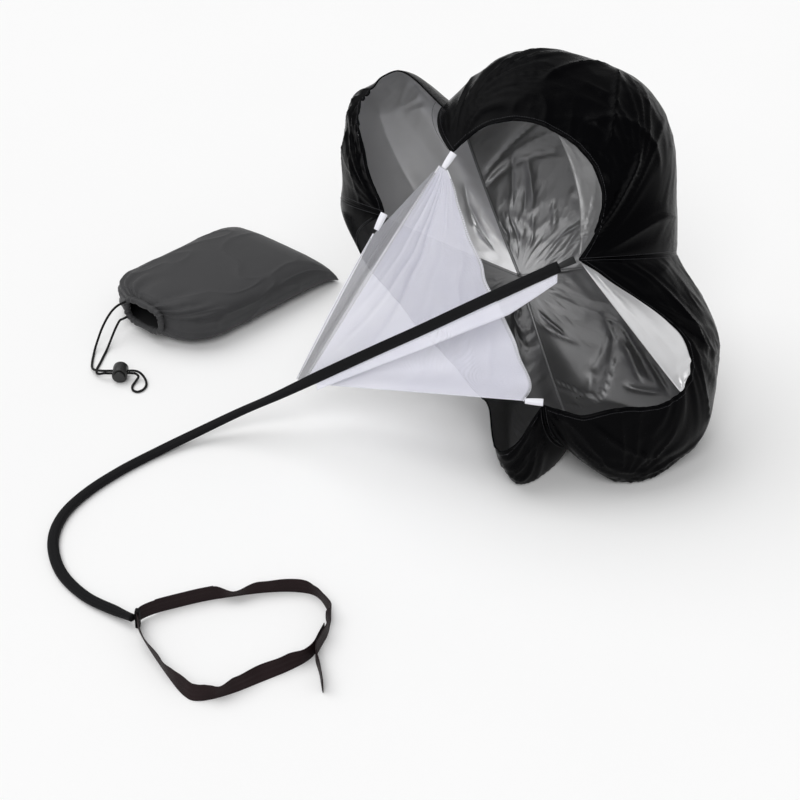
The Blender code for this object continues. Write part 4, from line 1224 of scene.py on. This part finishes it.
CHANNEL_THICK = CHANNEL_RADIUS * (1 + CHANNEL_RUFFLE_SHARE)
MOUTH_HALF_WIDTH, MOUTH_HALF_HEIGHT = pouch_size(1.0)
MOUTH_MIDDLE = UP * pouch_middle(1.0, MOUTH_HALF_HEIGHT)
CHANNEL_MIDDLE = POUCH_END + POUCH_ALONG * (POUCH_LENGTH + FIT_GAP + CHANNEL_THICK) + MOUTH_MIDDLE


def channel_across(turn):
    """From the channel's middle to the middle of its tube, at a turn about the mouth."""
    across, up = squared(turn, POUCH_SQUARE)
    half_wall = CAD_POUCH_WALL * 0.5
    aside = across * (MOUTH_HALF_WIDTH - half_wall)
    return POUCH_SIDE * aside + UP * (up * (MOUTH_HALF_HEIGHT - half_wall))


def channel_exit(degrees, beyond):
    """A point in front of the channel, where a strand of the cord comes out."""
    front = CHANNEL_THICK + FIT_GAP
    return CHANNEL_MIDDLE + channel_across(math.radians(degrees)) + POUCH_ALONG * (front + beyond)


def build_channel(finishes):
    """The ruffled tube round the pouch's mouth that holds the drawcord."""
    rings = []
    for i in range(CHANNEL_STEPS):
        turn = 2 * math.pi * i / CHANNEL_STEPS
        out = POUCH_SIDE * (math.cos(turn) / MOUTH_HALF_WIDTH) + UP * (math.sin(turn) / MOUTH_HALF_HEIGHT)
        thick = CHANNEL_RADIUS * (1 + CHANNEL_RUFFLE_SHARE * gather(turn))
        centre = CHANNEL_MIDDLE + channel_across(turn)
        long_way = POUCH_ALONG * (thick * CHANNEL_LENGTH_SHARE)
        rings.append(ring_about(centre, out.normalized() * thick, long_way, CHANNEL_SIDES))
    return sweep("pouch_channel_cloth", rings, finishes, closed=True)


# drawcord and cord lock
def cord_path():
    x, y, z = LOCK_CENTRE
    first, second = EXIT_TURNS
    guide = [channel_exit(first, CORD_DIAMETER * share) for share in EXIT_RUN_SHARES]
    guide += CORD_OUT
    guide += [(x + LOCK_RADIUS * share, y, z + STRAND_OFFSET) for share in THROUGH_SHARES]
    guide += CORD_LOOP
    guide += [(x + LOCK_RADIUS * share, y, z - STRAND_OFFSET) for share in RETURN_SHARES]
    guide += CORD_BACK
    guide += [channel_exit(second, CORD_DIAMETER * share) for share in EXIT_RUN_SHARES[::-1]]
    path = even_path(guide, CORD_POINTS - 1)
    return [p + SHIFT for p in above_floor(path, CORD_DIAMETER * 0.5 + FLOOR_GAP)]


def tube_along(name, path, radius, sides, finishes):
    """A round tube through points already in the frame, turned as little as it can be."""
    rings = []
    wide = UP.cross(tangents(path)[0])
    for p, run in zip(path, tangents(path)):
        wide = square_to(wide, run)
        thin = run.cross(wide).normalized()
        rings.append(ring_about(p, wide * radius, thin * radius, sides))
    return sweep(name, rings, finishes, shift=Vector((0.0, 0.0, 0.0)))


def rounded_copy(name, node_name, width, finish):
    """A CAD node's own shape with its sharp edges eased."""
    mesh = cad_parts[node_name].data.copy()
    mesh.name = name
    work = bmesh.new()
    work.from_mesh(mesh)
    bmesh.ops.remove_doubles(work, verts=work.verts, dist=0.00001)
    bmesh.ops.dissolve_limit(work, angle_limit=math.radians(FLAT_WITHIN), verts=work.verts, edges=work.edges)
    work.to_mesh(mesh)
    work.free()
    mesh.materials.clear()
    mesh.materials.append(finish)
    for polygon in mesh.polygons:
        polygon.use_smooth = True
    made = put(name, mesh)
    if width:
        ease = made.modifiers.new("eased edges", "BEVEL")
        ease.width = width
        ease.segments = 3
        ease.limit_method = "ANGLE"
        ease.angle_limit = math.radians(EASE_FROM)
        ease.harden_normals = True
    return made


# stitches: for each group of lines, the body that they ride on and the lines
STITCH_LINES = {}


def stitch_tree():
    """Geometry Nodes that lay one short stitch at even steps along every edge path."""
    tree = bpy.data.node_groups.new("Stitches", "GeometryNodeTree")
    face = tree.interface
    face.new_socket("Geometry", in_out="INPUT", socket_type="NodeSocketGeometry")
    for name, value in (("Step", 0.004), ("Stitch length", 0.0028), ("Stitch radius", 0.0004)):
        socket = face.new_socket(name, in_out="INPUT", socket_type="NodeSocketFloat")
        socket.default_value = value
        socket.subtype = "DISTANCE"
    face.new_socket("Finish", in_out="INPUT", socket_type="NodeSocketMaterial")
    face.new_socket("Geometry", in_out="OUTPUT", socket_type="NodeSocketGeometry")
    start = node(tree, "NodeGroupInput")
    line = node(tree, "GeometryNodeMeshToCurve", {"Mesh": start.outputs["Geometry"]})
    inputs = {"Curve": line.outputs[0], "Length": start.outputs["Step"]}
    even = node(tree, "GeometryNodeResampleCurve", inputs, mode="LENGTH")
    sizes = start.outputs
    inputs = {"Vertices": 6, "Radius": sizes["Stitch radius"], "Depth": sizes["Stitch length"]}
    thread = node(tree, "GeometryNodeMeshCylinder", inputs)
    run = node(tree, "GeometryNodeInputTangent")
    turn = node(tree, "FunctionNodeAlignRotationToVector", {"Vector": run.outputs[0]}, axis="Z")
    inputs = {"Points": even.outputs[0], "Instance": thread.outputs["Mesh"], "Rotation": turn.outputs[0]}
    laid = node(tree, "GeometryNodeInstanceOnPoints", inputs)
    real = node(tree, "GeometryNodeRealizeInstances", {"Geometry": laid.outputs[0]})
    inputs = {"Geometry": real.outputs[0], "Material": start.outputs["Finish"]}
    dressed = node(tree, "GeometryNodeSetMaterial", inputs)
    node(tree, "NodeGroupOutput", {0: dressed.outputs[0]})
    return tree


def sew(name, paths, body, finish, look):
    """Stitches along every path, as one plain mesh that rides on a body."""
    points = []
    edges = []
    for path in paths:
        first = len(points)
        points += [p + SHIFT for p in path]
        edges += [(first + i, first + i + 1) for i in range(len(path) - 1)]
    mesh = bpy.data.meshes.new(name)
    mesh.from_pydata(points, edges, [])
    made = put(name, mesh)
    tree = bpy.data.node_groups.get("Stitches") or stitch_tree()
    maker = made.modifiers.new("stitches", "NODES")
    maker.node_group = tree
    values = {"Step": look.step, "Stitch length": look.length, "Stitch radius": look.radius, "Finish": finish}
    for item in tree.interface.items_tree:
        if item.in_out == "INPUT" and item.name in values:
            maker[item.identifier] = values[item.name]
    bpy.context.view_layer.update()
    seen = made.evaluated_get(bpy.context.evaluated_depsgraph_get())
    plain = bpy.data.meshes.new_from_object(seen)
    made.modifiers.remove(maker)
    made.data = plain
    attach(made, body)
    return made


def hem_stitches(lobe):
    """The line where the mouth's hem is sewn down, a little way in from the edge, on both faces."""
    mouth = lobe_edge(lobe)
    radii = [lobe_radius(lobe, c / LOBE_COLUMNS[lobe]) for c in range(len(mouth))]
    row = [m - degrees_for(radius, m, HEM_STITCH_IN) for m, radius in zip(mouth, radii)]
    grids = lobe_grids(lobe, row, row, 1, (CLOTH_DEPTH, CLOTH_DEPTH + CLOTH))
    return [grid[0][HEM_ENDS:-HEM_ENDS] for grid in grids]


def seam_stitches(seam):
    """Two lines of stitches, one on each side of the ridge of a seam."""
    lines = []
    for lobe, seams in LOBE_SEAMS.items():
        for end, (name, turns) in enumerate(seams):
            if name != seam:
                continue
            across = SEAM_STITCH_AWAY / (lobe_radius(lobe, end) * LOBE_SPANS[lobe])
            share = 1 - across if end else across
            radius = lobe_radius(lobe, share)
            line = []
            for fullness in even_shares(SEAM_STITCH_FROM, SEAM_MOUTHS[seam], SEAM_STEPS):
                lift = wrinkle(lobe, share, fullness, radius)
                line.append(lobe_point(lobe, share, fullness, CLOTH_DEPTH, radius, lift))
            lines.append(line)
    return lines


def between(near, far, share, lift):
    """A line of stitches down a band, a little in front of it."""
    return [a.lerp(b, share) + lift for a, b in zip(near, far)][BAND_ENDS:-BAND_ENDS]


def even_shares(first, last, count):
    return [first + (last - first) * i / count for i in range(count + 1)]


def box_stitches(path, offset):
    """A sewn box with a cross in it, on an upright band."""
    low, high = BOX_MARGIN, BELT_WIDTH - BOX_MARGIN
    sides = [p.cross(UP).normalized() for p in tangents(path)]
    bottom = [p + side * offset + UP * low for p, side in zip(path, sides)]
    top = [p + side * offset + UP * high for p, side in zip(path, sides)]
    ends = [(0, 0), (-1, -1), (0, -1), (-1, 0)]
    return [bottom, top] + [[bottom[a], top[b]] for a, b in ends]


# what a user would change
def colour_setting(name, text, red, green, blue):
    return bpy.props.FloatVectorProperty(
        name=name, description=text, subtype="COLOR", size=4, min=0.0, max=1.0,
        default=(red, green, blue, 1.0))


def length_setting(name, text, least, most, value):
    return bpy.props.FloatProperty(
        name=name, description=text, subtype="DISTANCE", min=least, max=most, default=value)


def number_setting(name, text, least, most, value):
    return bpy.props.FloatProperty(name=name, description=text, min=least, max=most, default=value)


class ParachuteCloth(bpy.types.PropertyGroup):
    outside_colour: colour_setting(
        "Outside colour", "Colour of the canopy's outer face", 0.0012, 0.0012, 0.0016)
    inside_colour: colour_setting(
        "Inside colour", "Colour of the canopy's coated inner face", 0.38, 0.38, 0.385)
    hem_colour: colour_setting("Hem colour", "Colour of the pale satin bands at the mouth", 0.70, 0.70, 0.71)
    weave_pitch: length_setting("Weave pitch", "Distance from thread to thread", 0.0002, 0.01, 0.0011)


class ParachuteNetting(bpy.types.PropertyGroup):
    colour: colour_setting("Netting colour", "Colour of the netting panels", 0.88, 0.88, 1.0)
    # the side panel is the same white netting painted greyer: painted shade
    side_shade_colour: colour_setting("Side colour", "Colour of the greyer side panel", 0.50, 0.50, 0.53)
    pitch: length_setting("Hole pitch", "Distance from hole to hole in the netting", 0.0005, 0.02, 0.0015)
    thread_share: number_setting("Hole limit", "Lower makes larger holes", -1.5, 2.0, 0.95)


class ParachuteWebbing(bpy.types.PropertyGroup):
    leash_colour: colour_setting("Leash colour", "Colour of the leash", 0.004, 0.004, 0.005)
    belt_colour: colour_setting("Belt colour", "Colour of the waist belt", 0.017, 0.009, 0.010)
    rib_width: length_setting("Rib width", "Width of one turn of the woven pattern", 0.001, 0.02, 0.0045)


class ParachutePouch(bpy.types.PropertyGroup):
    colour: colour_setting("Pouch colour", "Colour of the pouch's cloth", 0.036, 0.036, 0.038)
    cord_colour: colour_setting("Cord colour", "Colour of the draw cord", 0.010, 0.010, 0.010)
    lock_colour: colour_setting("Lock colour", "Colour of the cord lock's plastic", 0.012, 0.012, 0.012)


class ParachuteThread(bpy.types.PropertyGroup):
    colour: colour_setting("Thread colour", "Colour of the sewing thread", 0.05, 0.05, 0.055)
    step: length_setting("Stitch step", "Distance from stitch to stitch", 0.001, 0.05, 0.0046)
    length: length_setting("Stitch length", "Length of one stitch", 0.0005, 0.05, 0.0032)
    radius: length_setting("Thread radius", "Half the thickness of the thread", 0.0001, 0.005, 0.0004)


class ParachuteStage(bpy.types.PropertyGroup):
    floor_colour: colour_setting("Floor colour", "Colour of the floor", 0.96, 0.96, 0.96)
    sky_strength: number_setting("Soft light", "Strength of the even light from all round", 0.0, 2.0, 0.37)
    lamp_level: number_setting("Lamp level", "Strength of the two soft lamps together", 0.0, 10.0, 2.56)


class ParachuteSettings(bpy.types.PropertyGroup):
    cloth: bpy.props.PointerProperty(type=ParachuteCloth)
    netting: bpy.props.PointerProperty(type=ParachuteNetting)
    webbing: bpy.props.PointerProperty(type=ParachuteWebbing)
    pouch: bpy.props.PointerProperty(type=ParachutePouch)
    thread: bpy.props.PointerProperty(type=ParachuteThread)
    stage: bpy.props.PointerProperty(type=ParachuteStage)


def dress(made, body, node_name=None):
    """What a piece rides on, and the CAD solid that it stands for, which it hides."""
    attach(made, body)
    if node_name:
        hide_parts(node_name)


class PARACHUTE_OT_leash(bpy.types.Operator):
    """Lay the leash from the canopy's right corner down to the belt"""
    bl_idname = "parachute.leash"
    bl_label = "Leash"

    def execute(self, context):
        look = context.scene.parachute.webbing
        finish = webbing_material("Leash webbing", look.leash_colour, 0.62, 0.0024, look.rib_width, 0.25)
        made, path = build_leash([finish])
        dress(made, "canopy", "leash_webbing")
        dress(build_belt_loop([finish]), "canopy", "leash_belt_loop")
        return {"FINISHED"}


class PARACHUTE_OT_draw_cord(bpy.types.Operator):
    """Run the pouch's draw cord through its lock and back"""
    bl_idname = "parachute.draw_cord"
    bl_label = "Draw cord"

    def execute(self, context):
        look = context.scene.parachute.pouch
        finish = webbing_material("Draw cord braid", look.cord_colour, 0.6, 0.0016, 0.0026, 0.3)
        path = cord_path()
        fine = even_path(path, CORD_POINTS * CORD_STEPS_EACH)
        made = tube_along("draw_cord", fine, CORD_DIAMETER * 0.5, CORD_SIDES, [finish])
        dress(made, "pouch", "pouch_cord")
        return {"FINISHED"}


class PARACHUTE_OT_canopy(bpy.types.Operator):
    """Sew the canopy's four lobes, their seams and their hems"""
    bl_idname = "parachute.canopy"
    bl_label = "Canopy"

    def execute(self, context):
        # noise vectors read an offset that is drawn by the clock unless it is seeded
        noise.seed_set(CRUMPLE_SEED)
        look = context.scene.parachute.cloth
        pitch = look.weave_pitch
        outside = cloth_material("Black nylon face", look.outside_colour, pitch, 0.26, 0.15, strength=0.10,
                                 Specular_IOR_Level=0.035)
        insides = {}
        # each lobe gets a lighter or darker copy of the inside colour: painted light and shade
        for lobe, share in INSIDE_LIGHT_SHARES.items():
            shade = [c * share for c in look.inside_colour[:3]]
            name = "Silver coated face, " + lobe
            insides[lobe] = cloth_material(name, shade, pitch, 0.36, 0.16, 0.66, 0.17)
        pale = cloth_material("Pale satin hem", look.hem_colour, pitch, 0.34, 0.06, 0.5, 0.14)
        # the top hem's darker colour is painted shade
        dimmed = [c * HEM_SHADE_SHARE for c in look.inside_colour[:3]]
        shaded_hem = cloth_material("Shaded satin hem", dimmed, pitch, 0.36, 0.10, 0.6, 0.15)
        for lobe in LOBE_NAMES:
            made, edge = build_lobe(lobe, [outside, insides[lobe]])
            dress(made, "canopy", "canopy_" + lobe + "_lobe")
            placed = [p + SHIFT for p in edge]
            roll = tube_along("edge_" + lobe + "_roll", placed, EDGE_RADIUS, EDGE_SIDES, [outside])
            extras = [roll]
            if lobe in TURNED_HEMS:
                dress(roll, "canopy")
                extras.append(turned_hem(lobe, edge, [shaded_hem if lobe == "top" else pale]))
            dress(extras[-1], "canopy", "hem_" + lobe + "_lobe")
            STITCH_LINES["hem " + lobe] = ("canopy", hem_stitches(lobe))
        for seam in SEAM_NAMES:
            # the seams' inner halves take the right lobe's copy of the inside colour, with its painted shade
            dress(seam_ridge(seam, [outside, insides["right"]]), "canopy")
            STITCH_LINES["seam " + seam] = ("canopy", seam_stitches(seam))
        return {"FINISHED"}


class PARACHUTE_OT_netting(bpy.types.Operator):
    """Hang the two netting panels, their tapes and the strip under the leash"""
    bl_idname = "parachute.netting"
    bl_label = "Netting panels"

    def execute(self, context):
        look = context.scene.parachute.netting
        white = mesh_material("White netting", look.colour, look.pitch, look.thread_share)
        tape = cloth_material("White tape", TAPE_COLOUR, TAPE_PITCH, 0.6, 0.06)
        dark_colour = context.scene.parachute.webbing.leash_colour
        dark_tape = cloth_material("Black tape", dark_colour, TAPE_PITCH, 0.55, 0.15)
        # the side panel's netting is a greyer copy of the white netting: painted shade
        shaded = mesh_material("Shaded netting", look.side_shade_colour, look.pitch, look.thread_share)
        left, right, left_side = mesh_lines()
        stitch_lines = []

        def taped(name, grid, column, aim, node_name, stitch_shares):
            near, far = edge_band(grid, column, aim)
            made = band(name, near, far, MESH_LIFT * 2, [tape])
            dress(made, "canopy", node_name)
            stitch_lines.extend(between(near, far, share, MESH_LIFT * 2) for share in stitch_shares)
            return made, near, far

        grid = panel_grid(left, right, FRONT_PANEL_SAG, FRONT_PANEL_SEED, NETTING_FOLD)
        front = slab("netting_front", shifted(grid, MESH_LIFT), grid, [white])
        dress(front, "canopy", "mesh_front_panel")
        hem = taped("netting_front_tape", grid, MESH_COLUMNS, -left_side, "mesh_front_hem", (0.25, 0.75))[0]
        ridge, near, far = taped("netting_ridge_tape", grid, 0, left_side, "mesh_ridge_tape", (0.25, 0.75))
        side_right = [p + (p - q).normalized() * FIT_GAP for p, q in zip(far, near)]
        side_left = even_path([past_tab("left"), side_right[-1] + left_side * GATHER_SPREAD], MESH_ROWS)
        side_fold = NETTING_FOLD * SIDE_FOLD_SHARE
        grid = panel_grid(side_left, side_right, SIDE_PANEL_SAG, SIDE_PANEL_SEED, side_fold)
        side = slab("netting_side", shifted(grid, MESH_LIFT), grid, [shaded])
        dress(side, "canopy", "mesh_side_panel")
        side_hem = taped("netting_side_tape", grid, 0, left_side, "mesh_side_hem", (0.5,))[0]
        STITCH_LINES["netting"] = ("canopy", stitch_lines)
        strip = build_leash_strip([white])
        dress(strip, "canopy", "mesh_leash_strip")
        for seam in SEAM_NAMES:
            dark = seam == "right"
            toward = LEASH_GUIDE[0] if dark else GATHER_POINT
            tab = tape_loop("corner_loop_" + seam, seam, toward, [dark_tape if dark else tape])
            dress(tab, "canopy", "corner_tab_" + seam)
        return {"FINISHED"}


class PARACHUTE_OT_belt(bpy.types.Operator):
    """Stand the waist belt on its edge, with its doubled part, hook patch and loose tail"""
    bl_idname = "parachute.belt"
    bl_label = "Waist belt"

    def execute(self, context):
        look = context.scene.parachute.webbing
        finish = webbing_material("Belt webbing", look.belt_colour, 0.6, 0.0022, look.rib_width, 0.22)
        hooks = webbing_material("Hook patch", HOOK_COLOUR, 0.8, 0.0014, 0.0014, 0.4)
        belt, doubler, patch, tail = build_belt([finish], [hooks])
        dress(belt, "canopy", "belt_webbing")
        dress(doubler, "canopy", "belt_doubler")
        dress(patch, "canopy", "belt_hook_patch")
        dress(tail, "tail", "belt_tail")
        path = belt_path()
        outer_face = -BELT_THICKNESS * 0.5 - FIT_GAP - PATCH_THICKNESS
        boxes = []
        for first in (DOUBLER_FROM * BELT_STEPS + 2, DOUBLER_TO * BELT_STEPS - BOX_LENGTH_STEPS - 2):
            boxes += box_stitches(path[first:first + BOX_LENGTH_STEPS], outer_face)
        STITCH_LINES["belt"] = ("canopy", boxes)
        tail_box = box_stitches(tail_path()[-BOX_LENGTH_STEPS:-2], BELT_THICKNESS * 0.5)
        STITCH_LINES["belt tail"] = ("tail", tail_box)
        return {"FINISHED"}


class PARACHUTE_OT_pouch(bpy.types.Operator):
    """Fill out the gathered pouch and the channel round its mouth"""
    bl_idname = "parachute.pouch"
    bl_label = "Pouch"

    def execute(self, context):
        look = context.scene.parachute.pouch
        finish = cloth_material("Pouch cloth", look.colour, 0.0014, 0.55, 0.15, Sheen_Weight=0.05,
                                Specular_IOR_Level=0.3)
        dress(build_pouch([finish]), "pouch", "pouch_body")
        dress(build_channel([finish]), "pouch", "pouch_channel")
        shares = even_shares(POUCH_STITCH_FROM, POUCH_STITCH_TO, POUCH_ROWS)
        rows = [pouch_ring(share, 0.0) for share in shares]
        sides = [[ring[round(POUCH_SIDES * turn)] for ring in rows] for turn in POUCH_SEAM_TURNS]
        mouth = pouch_ring(POUCH_STITCH_TO, 0.0)
        STITCH_LINES["pouch"] = ("pouch", sides + [mouth + mouth[:1]])
        return {"FINISHED"}


class PARACHUTE_OT_cord_lock(bpy.types.Operator):
    """Ease the edges of the cord lock and give it its plastic and spring steel"""
    bl_idname = "parachute.cord_lock"
    bl_label = "Cord lock"

    def execute(self, context):
        look = context.scene.parachute.pouch
        plastic = plastic_material("Lock plastic", look.lock_colour, 0.38)
        for name, node_name, body in (("lock_shell", "cord_lock_barrel", "cord_lock"),
                                      ("lock_button", "cord_lock_plunger", "plunger")):
            dress(rounded_copy(name, node_name, LOCK_EASE, plastic), body, node_name)
        steel = steel_material("Spring steel", STEEL_COLOUR, 0.28)
        spring = rounded_copy("lock_spring", "cord_lock_spring", 0.0, steel)
        dress(spring, "cord_lock", "cord_lock_spring")
        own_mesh(spring)
        return {"FINISHED"}


class PARACHUTE_OT_stitches(bpy.types.Operator):
    """Sew the stitch lines of the pieces made so far, one mesh for each body"""
    bl_idname = "parachute.stitches"
    bl_label = "Stitches"

    def execute(self, context):
        look = context.scene.parachute.thread
        finish = webbing_material("Sewing thread", look.colour, 0.5, 0.0008, 0.0008, 0.15)
        for body, slot in (("canopy", "hem_band"), ("tail", "belt_webbing"), ("pouch", "pouch_cloth")):
            lines = [line for where, group in STITCH_LINES.values() if where == body for line in group]
            sew("stitches_" + body, lines, body, finish, look)
        return {"FINISHED"}


class PARACHUTE_OT_stage(bpy.types.Operator):
    """Set the floor, the soft lights and the camera"""
    bl_idname = "parachute.stage"
    bl_label = "Stage"

    def execute(self, context):
        scene = context.scene
        look = scene.parachute.stage
        finish, tree, shader = start_material("Pale floor", 0.9, Specular_IOR_Level=0.1)
        paint(tree, shader, look.floor_colour, 0.01, object_noise(tree, 2.0))
        mesh = bpy.data.meshes.new("floor")
        corners = [(x * FLOOR_HALF, y * FLOOR_HALF, 0) for x, y in ((-1, -1), (1, -1), (1, 1), (-1, 1))]
        mesh.from_pydata(corners, [], [(0, 1, 2, 3)])
        mesh.materials.append(finish)
        floor = put("floor", mesh)
        floor.location.z = -FLOOR_DROP
        world = bpy.data.worlds.new("Soft light")
        scene.world = world
        world.use_nodes = True
        sky = world.node_tree.nodes["Background"]
        sky.inputs[0].default_value = (1.0, 1.0, 1.0, 1.0)
        sky.inputs["Strength"].default_value = look.sky_strength
        for name, place, spread, share in LIGHTS:
            lamp = bpy.data.lights.new(name, "SUN")
            lamp.angle = math.radians(spread)
            lamp.energy = share * look.lamp_level
            put(name, lamp).rotation_euler = Vector(place).to_track_quat("Z", "Y").to_euler()
        lens = bpy.data.cameras.new("View")
        lens.sensor_width = SENSOR
        lens.lens = SENSOR * VIEW_DISTANCE / (PICTURE_SIDE * METRES_PER_PIXEL)
        eye = put("View", lens)
        back = -VIEW_DISTANCE * math.cos(VIEW_ELEVATION)
        eye.location = Vector((0.0, back, VIEW_HEIGHT + VIEW_DISTANCE * math.sin(VIEW_ELEVATION))) + SHIFT
        eye.rotation_euler = (math.pi / 2 - VIEW_ELEVATION, 0.0, 0.0)
        scene.camera = eye
        scene.view_settings.view_transform = "Standard"
        return {"FINISHED"}


class PARACHUTE_PT_panel(bpy.types.Panel):
    bl_label = "Speed Parachute"
    bl_idname = "PARACHUTE_PT_panel"
    bl_space_type = "VIEW_3D"
    bl_region_type = "UI"
    bl_category = "Parachute"

    def draw(self, context):
        look = context.scene.parachute
        for group in (look.cloth, look.netting, look.webbing, look.pouch, look.thread, look.stage):
            box = self.layout.box()
            for key in group.__annotations__:
                box.prop(group, key)
        for maker in OPERATORS:
            self.layout.operator(maker.bl_idname)


OPERATORS = (
    PARACHUTE_OT_stage,
    PARACHUTE_OT_leash,
    PARACHUTE_OT_draw_cord,
    PARACHUTE_OT_canopy,
    PARACHUTE_OT_netting,
    PARACHUTE_OT_belt,
    PARACHUTE_OT_pouch,
    PARACHUTE_OT_cord_lock,
    PARACHUTE_OT_stitches,
)
GROUPS = (
    ParachuteCloth, ParachuteNetting, ParachuteWebbing, ParachutePouch, ParachuteThread, ParachuteStage,
    ParachuteSettings,
)
CLASSES = GROUPS + OPERATORS + (PARACHUTE_PT_panel,)


def register():
    for kind in CLASSES:
        bpy.utils.register_class(kind)
    bpy.types.Scene.parachute = bpy.props.PointerProperty(type=ParachuteSettings)


def unregister():
    del bpy.types.Scene.parachute
    for kind in reversed(CLASSES):
        bpy.utils.unregister_class(kind)


def main():
    register()
    bpy.ops.parachute.stage()
    bpy.ops.parachute.leash()
    bpy.ops.parachute.draw_cord()
    bpy.ops.parachute.canopy()
    bpy.ops.parachute.netting()
    bpy.ops.parachute.belt()
    bpy.ops.parachute.pouch()
    bpy.ops.parachute.cord_lock()
    bpy.ops.parachute.stitches()


if __name__ == "__main__":
    main()
